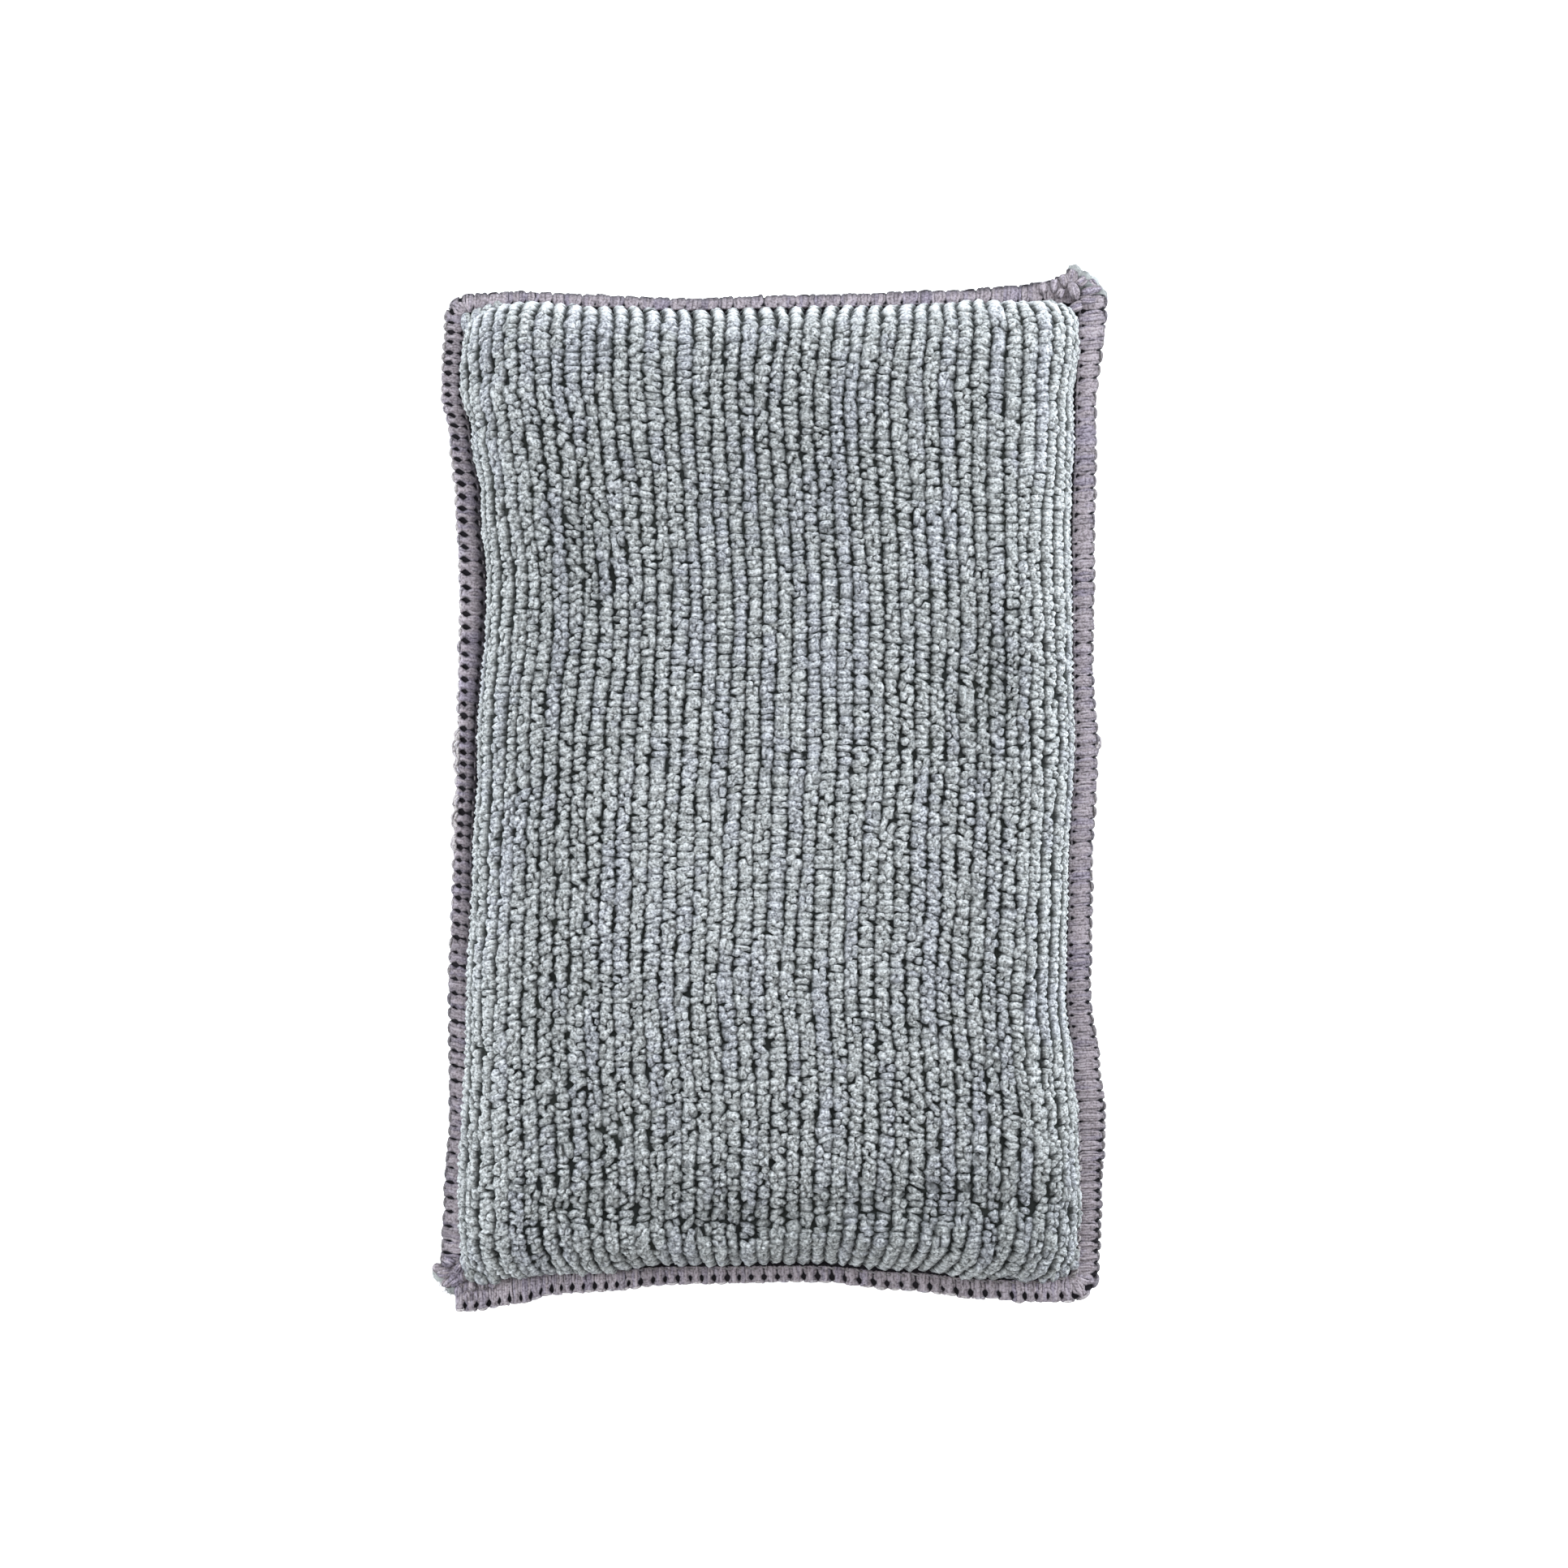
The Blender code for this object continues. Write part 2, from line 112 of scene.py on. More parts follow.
# place along the side, how far it is drawn in (mm), overlocked width (mm), lean (degrees), stitch length (mm)
sideRows = {
    "left": (
        (-1.00, -0.4, 4.4, 2, 2.0),
        (-0.84, 0.2, 4.1, 0, 2.2),
        (-0.66, 0.9, 3.6, -4, 2.2),
        (-0.40, 0.8, 3.8, -4, 2.1),
        (-0.15, 1.4, 3.9, -6, 1.9),
        (0.08, 2.0, 4.0, -4, 1.8),
        (0.42, 2.3, 5.0, 4, 2.1),
        (0.62, 1.7, 4.6, 4, 1.9),
        (0.74, 0.8, 4.2, 0, 1.7),
        (0.84, -0.5, 4.3, -4, 1.6),
        (1.00, 0.1, 3.8, -8, 1.6),
    ),
    "right": (
        (-1.00, 0.9, 4.6, 8, 1.6),
        (-0.84, 0.5, 5.0, 10, 1.5),
        (-0.68, -0.2, 5.6, 12, 1.5),
        (-0.56, 0.8, 5.0, 8, 1.6),
        (-0.43, 2.1, 4.6, 6, 1.8),
        (-0.20, 1.9, 4.5, 4, 1.9),
        (0.10, 1.0, 4.5, 2, 1.8),
        (0.24, 1.7, 4.0, 0, 1.7),
        (0.50, 1.4, 4.4, 0, 2.0),
        (0.78, 1.2, 4.1, 0, 2.1),
        (1.00, -0.4, 4.8, 2, 2.2),
    ),
    "top": (
        (-1.00, 0.4, 3.5, -10, 1.9),
        (-0.84, -0.1, 3.4, -14, 2.0),
        (-0.62, 0.4, 3.3, -16, 2.2),
        (-0.30, 1.0, 3.2, -16, 2.3),
        (0.10, 0.5, 3.3, -14, 2.3),
        (0.60, -0.2, 3.5, -10, 2.2),
        (0.82, -0.9, 4.1, -4, 2.0),
        (0.92, -1.6, 4.4, 0, 1.9),
        (1.00, -3.3, 5.6, 0, 1.9),
    ),
    "bottom": (
        (-1.00, -0.6, 5.6, 0, 1.7),
        (-0.84, 0.5, 5.3, 4, 1.6),
        (-0.72, 1.9, 4.7, 4, 1.6),
        (-0.58, 2.3, 4.2, 2, 1.7),
        (-0.30, 3.5, 3.7, 0, 1.9),
        (0.15, 3.8, 3.5, 0, 2.1),
        (0.45, 2.6, 3.7, 0, 2.1),
        (0.72, 1.2, 4.0, 2, 2.1),
        (0.88, 0.7, 4.2, 4, 1.9),
        (1.00, 0.8, 4.4, 6, 1.8),
    ),
}
drawColumn, bandColumn, leanColumn, stitchColumn = 1, 2, 3, 4

# how much less than the plain form the cloth bulges over its overlocking, at even places along each side (mm)
bulgeRows = {
    "left": (-0.8, -1.0, -0.6, -0.4, -0.5, -0.3, -0.2),
    "right": (0.1, 0.0, -0.3, -0.45, -0.45, -0.2, 0.0),
    "top": (0.0, 0.05, -0.15, -0.1, 0.0),
    "bottom": (0.1, 0.3, 0.35, 0.6, 0.4),
}


def bulgeBy(side, place, fromSeam):
    middle, reach = padShape["bulge"]
    return atPlace(bulgeRows[side], place) * mm * bell(fromSeam - middle, reach)


# soft troughs in the front: x, y, reach in x, reach in y, depth, all in mm
frontDents = (
    (-12.0, -62.5, 26.0, 4.0, 1.1),
    (27.0, -60.0, 16.0, 4.5, 0.8),
    (31.0, 15.0, 10.0, 12.0, 0.8),
    (-33.0, 38.0, 10.0, 15.0, 0.6),
    (4.0, 46.0, 22.0, 12.0, 0.5),
    (-36.0, -28.0, 6.0, 30.0, 0.5),
)


def sideValue(side, column, place):
    rows = np.asarray(sideRows[side], float)
    place = np.clip(place, rows[0, 0], rows[-1, 0])
    row = np.clip(np.searchsorted(rows[:, 0], place, side="right") - 1, 0, len(rows) - 2)
    share = (place - rows[row, 0]) / (rows[row + 1, 0] - rows[row, 0])
    share = share * share * (3 - 2 * share)
    return rows[row, column] + (rows[row + 1, column] - rows[row, column]) * share


def inwardOf(side, place):
    return mm * (sideValue(side, drawColumn, place) + sideValue(side, bandColumn, place))


def seamCorner(side, level, endX, endY):
    x = padShape["halfWidth"] - inwardOf(side, endY)
    y = padShape["halfLength"] - inwardOf(level, endX)
    return np.array((endX * x, endY * y))


corners = {
    (endX, endY): seamCorner("left" if endX < 0 else "right", "bottom" if endY < 0 else "top", endX, endY)
    for endX in (-1, 1)
    for endY in (-1, 1)
}
seamHalfWidth = 0.25 * sum(endX * corners[endX, endY][0] for endX, endY in corners)
seamHalfLength = 0.25 * sum(endY * corners[endX, endY][1] for endX, endY in corners)


def seamSide(side, place):
    place = np.asarray(place, float)
    share = 0.5 * (place + 1)
    if side in ("left", "right"):
        end = -1 if side == "left" else 1
        x = end * (padShape["halfWidth"] - inwardOf(side, place))
        y = corners[end, -1][1] + (corners[end, 1][1] - corners[end, -1][1]) * share
    else:
        end = -1 if side == "bottom" else 1
        x = corners[-1, end][0] + (corners[1, end][0] - corners[-1, end][0]) * share
        y = end * (padShape["halfLength"] - inwardOf(side, place))
    return np.stack((x, y), -1)


def outlinePoint(across, along):
    right, up = 0.5 * (across + 1)[..., None], 0.5 * (along + 1)[..., None]
    left, down = 1 - right, 1 - up
    fromSides = seamSide("left", along) * left + seamSide("right", along) * right
    fromEnds = seamSide("bottom", across) * down + seamSide("top", across) * up
    fromCorners = corners[-1, -1] * left * down + corners[1, -1] * right * down
    fromCorners = fromCorners + corners[-1, 1] * left * up + corners[1, 1] * right * up
    return fromSides + fromEnds - fromCorners


def shoulderCurve(steps=72):
    # how far in from the seam, and how high, the cloth is at equal steps of its own length
    step = padShape["shoulderArc"] / steps
    leftToTurn = 1 - (np.arange(steps) + 0.5) / steps
    slope = np.radians(180 - (180 - padShape["seamLift"]) * leftToTurn ** padShape["shoulderEase"])
    inset = np.concatenate(((0.0,), np.cumsum(-np.cos(slope) * step)))
    rise = np.concatenate(((0.0,), np.cumsum(np.sin(slope) * step)))
    return np.linspace(0, padShape["shoulderArc"], steps + 1), inset, rise / rise[-1]


shoulderArcs, shoulderInset, shoulderRise = shoulderCurve()
arcSaved = padShape["shoulderArc"] - shoulderInset[-1]
halfAcross = seamHalfWidth + arcSaved  # half the width of the cloth itself
halfAlong = seamHalfLength + arcSaved


def shareFromArc(arc, halfArc, fullness):
    fromSeam = halfArc - np.abs(arc)
    halfReach = halfArc - arcSaved
    beyond = np.maximum(fromSeam - padShape["shoulderArc"], 0)
    bulged = np.interp(fromSeam, shoulderArcs, shoulderInset) + beyond
    flat = fromSeam * halfReach / halfArc
    inset = flat + (bulged - flat) * fullness
    return np.copysign(1 - inset / halfReach, arc)


def riseShare(arc, halfArc):
    fromSeam = np.clip(halfArc - np.abs(arc), 0, None)
    crown = np.sin(0.5 * np.pi * fromSeam / halfArc)
    share = padShape["crownShare"]
    return (1 - share) * np.interp(fromSeam, shoulderArcs, shoulderRise) + share * crown


settled = {}  # what the simulation moves each face by, on an even grid of the cloth


def settledBy(across, along, front):
    grid = settled.get(front)
    if grid is None:
        return np.zeros(across.shape + (3,))
    u = np.clip(0.5 * (across / halfAcross + 1), 0, 1) * (grid.shape[0] - 1)
    v = np.clip(0.5 * (along / halfAlong + 1), 0, 1) * (grid.shape[1] - 1)
    i = np.minimum(u.astype(int), grid.shape[0] - 2)
    j = np.minimum(v.astype(int), grid.shape[1] - 2)
    u, v = (u - i)[..., None], (v - j)[..., None]
    low = grid[i, j] * (1 - u) + grid[i + 1, j] * u
    high = grid[i, j + 1] * (1 - u) + grid[i + 1, j + 1] * u
    return low * (1 - v) + high * v


def bulgedLess(across, along):
    endShare, sideShare = across / halfAcross, along / halfAlong
    x = bulgeBy("left", sideShare, across + halfAcross) - bulgeBy("right", sideShare, halfAcross - across)
    y = bulgeBy("bottom", endShare, along + halfAlong) - bulgeBy("top", endShare, halfAlong - along)
    return np.stack((x, y), -1)


def facePoint(across, along, front):
    # a point of the cloth's outer surface, at the tops of its loops
    riseAcross = riseShare(across, halfAcross)
    riseAlong = riseShare(along, halfAlong)
    shareAcross = shareFromArc(across, halfAcross, np.sqrt(riseAlong))
    shareAlong = shareFromArc(along, halfAlong, np.sqrt(riseAcross))
    flat = outlinePoint(shareAcross, shareAlong)
    rise = riseAcross * riseAlong
    if front:
        dent = softPatches(frontDents, flat[..., 0], flat[..., 1]) * mm
        z = padShape["seamHeight"] + rise * (padShape["frontRise"] - dent)
    else:
        z = np.maximum(padShape["seamHeight"] - rise * padShape["backDrop"], 0)
    flat = flat + np.array(padShape["centre"]) + bulgedLess(across, along)
    return np.concatenate((flat, z[..., None]), -1) + settledBy(across, along, front)


def gathered(across, along):
    # the ribs are drawn in where both ends are sewn, but stay apart as they roll over to the seam
    share = across / halfAcross
    total = 0
    ends = (("Bottom", along + halfAlong, 0), ("Top", halfAlong - along, padShape["gatherLean"]))
    for end, fromEnd, lean in ends:
        pull, reach = padShape["gather" + end]
        total = total + pull * np.exp(-fromEnd / reach) * (1 + lean * share)
        total = total - padShape["roll" + end] * np.exp(-fromEnd / padShape["rollReach"])
    most = 0.385  # what share * (1 - share * share) comes to at its highest
    return across - total * share * (1 - share * share) / most


def faceFrame(across, along, front, step=0.25 * mm):
    # the point, the directions across and along the cloth, the way out, and how far the cloth is stretched
    lowA = np.clip(across - step, -halfAcross, halfAcross)
    highA = np.clip(across + step, -halfAcross, halfAcross)
    lowB = np.clip(along - step, -halfAlong, halfAlong)
    highB = np.clip(along + step, -halfAlong, halfAlong)
    over = (facePoint(highA, along, front) - facePoint(lowA, along, front)) / (highA - lowA)[..., None]
    up = (facePoint(across, highB, front) - facePoint(across, lowB, front)) / (highB - lowB)[..., None]
    out = np.cross(over, up) if front else np.cross(up, over)
    stretch = np.linalg.norm(over, axis=-1), np.linalg.norm(up, axis=-1)
    return facePoint(across, along, front), unit(over), unit(up), unit(out), stretch


# ---- mesh helpers


def addObject(name, data):
    thing = bpy.data.objects.new(name, data)
    bpy.context.scene.collection.objects.link(thing)
    return thing


def makeMesh(name, points, faceSets, cornerUv=None, values=None):
    # faceSets holds one array of faces for each number of corners; values are named numbers for each point
    mesh = bpy.data.meshes.new(name)
    points = np.asarray(points, np.float32).reshape(-1, 3)
    corner = np.concatenate([faces.reshape(-1) for faces in faceSets]).astype(np.int32)
    sizes = np.concatenate([np.full(len(faces), faces.shape[1]) for faces in faceSets])
    starts = np.concatenate(((0,), np.cumsum(sizes)[:-1])).astype(np.int32)
    mesh.vertices.add(len(points))
    mesh.vertices.foreach_set("co", points.ravel())
    mesh.loops.add(len(corner))
    mesh.loops.foreach_set("vertex_index", corner)
    mesh.polygons.add(len(starts))
    mesh.polygons.foreach_set("loop_start", starts)
    mesh.update(calc_edges=True)
    if cornerUv is not None:
        layer = mesh.uv_layers.new(name="fibreMap")
        layer.uv.foreach_set("vector", np.asarray(cornerUv, np.float32).ravel())
    for key, numbers in (values or {}).items():
        attribute = mesh.attributes.new(key, "FLOAT", "POINT")
        attribute.data.foreach_set("value", np.asarray(numbers, np.float32).ravel())
    mesh.shade_smooth()
    return addObject(name, mesh)


def gridFaces(index):
    # quads of one grid of point numbers
    return np.stack((index[:-1, :-1], index[1:, :-1], index[1:, 1:], index[:-1, 1:]), -1).reshape(-1, 4)


def tubeFaces(count, sides):
    # quads round a tube of count rings, and its two ends
    index = np.arange(count * sides).reshape(count, sides)
    after = np.roll(index, -1, axis=1)
    quads = np.stack((index[:-1], index[1:], after[1:], after[:-1]), -1).reshape(-1, 4)
    return quads, np.stack((index[0], index[-1][::-1]))


def manyOf(faces, copies, pointsEach):
    # the same faces for many sets of points, stored one after another
    base = (np.arange(copies) * pointsEach)[:, None, None]
    return (faces[None] + base).reshape(-1, faces.shape[1])


def tubeMesh(name, paths, radius, sides, turns, tint, lit=1.0, upward=(0.0, 0.0, 1.0)):
    # round tubes along many paths with the same number of points; radius is one or (across, upward)
    shape = paths.shape[:2]
    strands, count = shape
    tangent = unit(np.gradient(paths, axis=1))
    side = unit(np.cross(tangent, upward))
    lift = np.cross(side, tangent)
    wide, high = radius if isinstance(radius, tuple) else (radius, radius)
    wide, high = (np.broadcast_to(size, shape)[..., None, None] for size in (wide, high))
    angle = 2 * np.pi * np.arange(sides) / sides
    ring = np.cos(angle)[:, None] * side[:, :, None, :] * wide
    ring = ring + np.sin(angle)[:, None] * lift[:, :, None, :] * high
    points = paths[:, :, None, :] + ring
    quads, caps = (manyOf(faces, strands, count * sides) for faces in tubeFaces(count, sides))
    step = np.linalg.norm(np.diff(paths, axis=1), axis=-1)
    length = np.concatenate((np.zeros((strands, 1)), np.cumsum(step, axis=1)), axis=1)
    u = np.arange(sides + 1) / sides
    corner = np.empty((strands, count - 1, sides, 4, 2))
    for place, (step, turn) in enumerate(((0, 0), (1, 0), (1, 1), (0, 1))):
        corner[..., place, 0] = u[turn : sides + turn]
        corner[..., place, 1] = length[:, step : count - 1 + step, None] / mm
    corner[..., 0] += turns * corner[..., 1]
    uv = np.concatenate((corner.reshape(-1, 2), np.zeros((caps.size, 2))))
    # painted shade: each strand is painted darker towards its underside, times the painted light given as lit
    values = {
        "loopTint": np.broadcast_to(tint[:, None, None], points.shape[:3]),
        "paintedLight": (0.5 + 0.5 * np.sin(angle)) * np.broadcast_to(lit, shape)[:, :, None],
    }
    return makeMesh(name, points, (quads, caps), uv, values)


def smoothNoise(random, shape, reach):
    # even noise of unit size, blurred over reach cells each way
    field = random.standard_normal(shape)
    for axis, width in enumerate(reach):
        if width <= 0:
            continue
        size = int(3 * width) + 1
        kernel = np.exp(-0.5 * (np.arange(-size, size + 1) / width) ** 2)
        kernel /= kernel.sum()
        padded = np.pad(field, [(size, size) if a == axis else (0, 0) for a in range(field.ndim)], "wrap")
        field = np.apply_along_axis(lambda line: np.convolve(line, kernel, "valid"), axis, padded)
    return field / field.std()


# ---- the filled shell that carries the pile


shellCloth = {
    "columns": 44,
    "rows": 64,
    "sink": 0.95 * mm,  # how far the ground cloth lies under the tops of the loops
    "sinkReach": 3.0 * mm,  # how far from the seam it has sunk as far
    "lowest": 0.05 * mm,
    "pressedUnder": 1.3 * mm,  # the cloth below this height is held by what the pad lies on
    "frames": 20,
    "mostMove": 0.7 * mm,
    "settings": {
        "quality": 6,
        "mass": 0.15,
        "tension_stiffness": 12,
        "compression_stiffness": 12,
        "shear_stiffness": 4,
        "bending_stiffness": 0.4,
        "use_pressure": True,
        "uniform_pressure_force": 4.0,
        "shrink_min": -0.025,  # cut this much larger than the form, so that it puckers at the seam
        "vertex_group_mass": "sewn",
    },
}


def shellGrid(front):
    across = np.linspace(-halfAcross, halfAcross, shellCloth["columns"] + 1)
    along = np.linspace(-halfAlong, halfAlong, shellCloth["rows"] + 1)
    across, along = np.meshgrid(across, along, indexing="ij")
    point, _, _, out, _ = faceFrame(gathered(across, along), along, front)
    fromSeam = np.minimum(halfAcross - np.abs(across), halfAlong - np.abs(along))
    sink = shellCloth["sink"] * np.clip(fromSeam / shellCloth["sinkReach"], 0, 1)
    sunk = point - out * sink[..., None]
    return np.concatenate((sunk[..., :2], np.maximum(sunk[..., 2:], shellCloth["lowest"])), -1)


def shellMesh(name):
    columns, rows = shellCloth["columns"] + 1, shellCloth["rows"] + 1
    front, back = shellGrid(True), shellGrid(False)
    index = np.arange(columns * rows).reshape(columns, rows)
    onSeam = np.zeros((columns, rows), bool)
    onSeam[[0, -1], :] = True
    onSeam[:, [0, -1]] = True
    backIndex = np.where(onSeam, index, 0)
    backIndex[~onSeam] = columns * rows + np.arange((~onSeam).sum())
    quads = np.concatenate((gridFaces(index), gridFaces(backIndex)[:, ::-1]))
    points = np.concatenate((front.reshape(-1, 3), back[~onSeam]))
    return makeMesh(name, points, (quads,)), index, backIndex, onSeam


def fillShell(piece, held):
    # blows the sewn shell out against its seam, as the filling does
    group = piece.vertex_groups.new(name=shellCloth["settings"]["vertex_group_mass"])
    group.add([int(number) for number in held], 1.0, "REPLACE")
    cloth = piece.modifiers.new("filling", "CLOTH")
    for key, value in shellCloth["settings"].items():
        setattr(cloth.settings, key, value)
    cloth.settings.effector_weights.gravity = 0
    cloth.collision_settings.use_collision = False
    cloth.point_cache.frame_end = shellCloth["frames"]
    for number in range(1, shellCloth["frames"] + 1):
        bpy.context.scene.frame_set(number)
    evaluated = piece.evaluated_get(bpy.context.evaluated_depsgraph_get())
    moved = np.empty(len(piece.data.vertices) * 3)
    evaluated.data.vertices.foreach_get("co", moved)
    piece.modifiers.clear()
    piece.vertex_groups.clear()
    bpy.context.scene.frame_set(1)
    return moved.reshape(-1, 3)


def makeShell():
    piece, frontIndex, backIndex, onSeam = shellMesh("padShell")
    start = np.empty(len(piece.data.vertices) * 3)
    piece.data.vertices.foreach_get("co", start)
    start = start.reshape(-1, 3)
    pressed = np.flatnonzero(start[:, 2] < shellCloth["pressedUnder"])
    held = np.union1d(frontIndex[onSeam], pressed)
    move = fillShell(piece, held) - start
    size = np.linalg.norm(move, axis=1, keepdims=True)
    most = shellCloth["mostMove"]
    move *= most * np.tanh(size / most) / np.maximum(size, 1e-9)
    done = start + move
    done[:, 2] = np.maximum(done[:, 2], shellCloth["lowest"])
    piece.data.vertices.foreach_set("co", done.ravel())
    piece.data.update()
    settled[True], settled[False] = move[frontIndex], move[backIndex]
    print("filled shell: moved by up to", round(float(size.max()) / mm, 2), "mm before the cap")
    return piece


# ---- the looped pile, in ribs


pile = {
    "ribs": 46,
    "coursePitch": 1.08 * mm,
    "courseSpread": 0.09,
    "mostCourses": 400,
    "doubleShare": 0.05,  # loops that stand nearly two courses tall
    "doubleLength": 1.8,
    # the loops of a rib that roll over to the seam are larger, most of all at the top
    "endStretch": {"bottom": (1.0, 1.0, 1.1, 1.25, 1.3, 1.0), "top": (1.0, 1.0, 1.3, 1.7, 1.8, 1.2)},
    "height": 1.15 * mm,
    "gap": -0.20 * mm,  # between two ribs at their feet
    "drift": 0.22 * mm,  # how far a valley strays sideways, with its neighbours
    "wander": 0.15 * mm,  # and by itself
    "fieldSteps": 152,  # along a rib, for what changes slowly along it
    "jitter": 0.17 * mm,  # how far a loop stands off its rib
    "untidy": (0.62, 0.35),  # how untidy the loops are, and how much that differs
    "tidierRight": (0.45, 0.35),  # how much tidier the right side is, and from which share of the half width
    "tidierSides": 0.7,
    "narrow": 0.06,  # how much narrower the untidy loops are
    "splitShare": 0.80,  # of the untidy loops, those that show as two curls
    "unevenness": 0.16,
    "overlap": (1.08, 1.50),  # of a loop's length over the next
    "deepest": (0.66, 1.3),  # bounds of the unevenness
    "ribRound": 0.36,
    "curls": 3,
    "curlReach": (0.34, 0.75),  # shares of the loop's half width and half length
    "curlDepth": 0.34,
    "rough": 0.14 * mm,  # lumps in a loop, from one point to the next
    "lowest": 0.02 * mm,
    "tilt": (8.0, 14.0),  # degrees: shared by a stretch of rib, and each loop's own
    "grid": {True: (7, 5), False: (5, 4)},  # points across and along a loop of the front and of the back
    "arc": 99,  # degrees that a loop bends through to each side of its top
    "sideReach": 9.0 * mm,  # how far from the sides the ribs are tidier and thinner, and painted darker with shade
    "endReach": (6.0 * mm, 3.2 * mm),  # how far from the ends the loops are large and smooth, and then fade
    "endWhole": {"bottom": 5.0 * mm, "top": 9.5 * mm},  # no loop nearer than this to an end is split
    "bottomSmooth": 0.35,  # how much of the ends' smoothness the bottom has
    "bottomRough": (40.0 * mm, 20.0 * mm),  # how far down the sides turn untidy, and over what length
    "crowded": (0.45, 0.4, 0.18),  # share of its area under which some loops go, how many, and where all go
    "bareCorner": 2.4 * mm,
    "spill": (0.10 * mm, 0.35 * mm, 0.95 * mm),  # over the overlocking, at the sides, the bottom and the top
    "spillReach": 3.0 * mm,
    "cornerSpill": (0.4 * mm, 0.8 * mm, 0.6 * mm),  # out in x, in y, and up
    "cornerReach": 7.0 * mm,
    "lowRightSpill": (0.6 * mm, 8.0 * mm),
    "strips": {True: 4, False: 2},
    "seed": {True: 11, False: 23},
}

# where the front's pile is pressed down and its ribs stand apart, or stands fuller if the share is below 0:
# x, y, reach in x, reach in y in mm, share
pressedPlaces = (
    (-4.0, 50.0, 30.0, 22.0, 0.32),
    (3.0, 45.0, 8.0, 11.0, 0.22),
    (-29.5, 35.0, 7.0, 13.0, 0.45),
    (33.0, 15.5, 6.0, 11.0, 0.50),
    (-34.0, -4.0, 4.5, 40.0, 0.32),
    (33.0, -30.0, 5.0, 30.0, 0.22),
    (-27.0, -50.0, 9.0, 8.0, 0.45),
    (-8.0, -63.5, 22.0, 5.0, 0.50),
    (22.0, -63.0, 22.0, 6.0, 0.60),
    (39.0, -61.0, 6.0, 6.0, 0.35),
    (-17.0, -14.0, 10.0, 16.0, -0.45),
    (8.0, -14.0, 14.0, 20.0, -0.30),
    (-41.0, -45.0, 4.0, 30.0, -0.50),
    (41.0, 45.0, 4.0, 30.0, -0.40),
)


def layCourses(random):
    # each loop's rib, place along it and half height
    ribs, places, halves = [], [], []
    most, stretch = pile["mostCourses"], pile["endStretch"]
    ends = len(stretch["top"])
    for rib in range(pile["ribs"]):
        pitch = pile["coursePitch"] * (1 + pile["courseSpread"] * random.standard_normal(most))
        pitch = np.where(random.random(most) < pile["doubleShare"], pile["doubleLength"] * pitch, pitch)
        count = int(np.argmin(np.abs(np.cumsum(pitch) - 2 * halfAlong))) - 1
        pitch = pitch[:count]
        pitch[:ends] *= stretch["bottom"]
        pitch[-ends:] *= stretch["top"][::-1]
        edges = np.concatenate(((0.0,), np.cumsum(pitch)))
        edges = edges * (2 * halfAlong / edges[-1]) - halfAlong
        ribs.append(np.full(count, rib))
        places.append(0.5 * (edges[1:] + edges[:-1]))
        halves.append(0.5 * (edges[1:] - edges[:-1]))
    return np.concatenate(ribs), np.concatenate(places), np.concatenate(halves)


def valleyLines(random, steps):
    # how far each line between two ribs strays from straight, at even steps along the cloth
    lines = smoothNoise(random, (pile["ribs"] + 1, steps), (4, 9)) * pile["drift"]
    lines += smoothNoise(random, (pile["ribs"] + 1, steps), (0, 3.5)) * pile["wander"]
    fromEdge = np.minimum(np.arange(pile["ribs"] + 1), pile["ribs"] - np.arange(pile["ribs"] + 1))
    return lines * np.clip(fromEdge / 3, 0, 1)[:, None]


def fieldAt(field, rib, along):
    # reads a field of ribs by even steps at each loop
    step = np.clip(0.5 * (along / halfAlong + 1), 0, 1) * (field.shape[1] - 1)
    low = np.minimum(step.astype(int), field.shape[1] - 2)
    share = step - low
    return field[rib, low] * (1 - share) + field[rib, low + 1] * share


def pressedAt(point):
    x, y = point[:, 0] - padShape["centre"][0], point[:, 1] - padShape["centre"][1]
    return np.clip(softPatches(pressedPlaces, x, y), -0.5, 1)


def nearBottom(along):
    start, over = pile["bottomRough"]
    return np.clip((-along - start) / over, 0, 1)


def planLoops(random):
    # where each loop sits on the cloth, its half width and half length, and how untidy its part of the rib is
    rib, along, half = layCourses(random)
    steps = pile["fieldSteps"]
    lines = valleyLines(random, steps)

    def drift(*reach):
        return fieldAt(smoothNoise(random, (pile["ribs"], steps), reach), rib, along)

    left = halfAcross * (2 * rib / pile["ribs"] - 1) + fieldAt(lines, rib, along)
    right = halfAcross * (2 * (rib + 1) / pile["ribs"] - 1) + fieldAt(lines, rib + 1, along)
    across = 0.5 * (left + right)
    (usual, change), (tidier, start) = pile["untidy"], pile["tidierRight"]
    untidy = usual + change * drift(4, 8)
    untidy = np.clip(untidy - tidier * np.clip(across / halfAcross - start, 0, 1), 0, 1)
    tidied = pile["tidierSides"] * bell(halfAcross - np.abs(across), pile["sideReach"])
    untidy = untidy * (1 - tidied * (1 - 0.7 * nearBottom(along)))
    slant, shade = drift(1.2, 5), drift(0.3, 6)
    return {
        "rib": rib,
        "across": across,
        "along": along,
        "wide": 0.5 * (right - left - pile["gap"]) * (1 - pile["narrow"] * untidy),
        "ribMiddle": across,
        "ribHalf": 0.5 * (right - left),
        "half": half,
        "untidy": untidy,
        "slant": slant,
        "tint": np.clip(0.5 + 0.22 * shade + 0.12 * random.standard_normal(len(rib)), 0, 1),
        "whole": np.ones(len(rib)),
    }


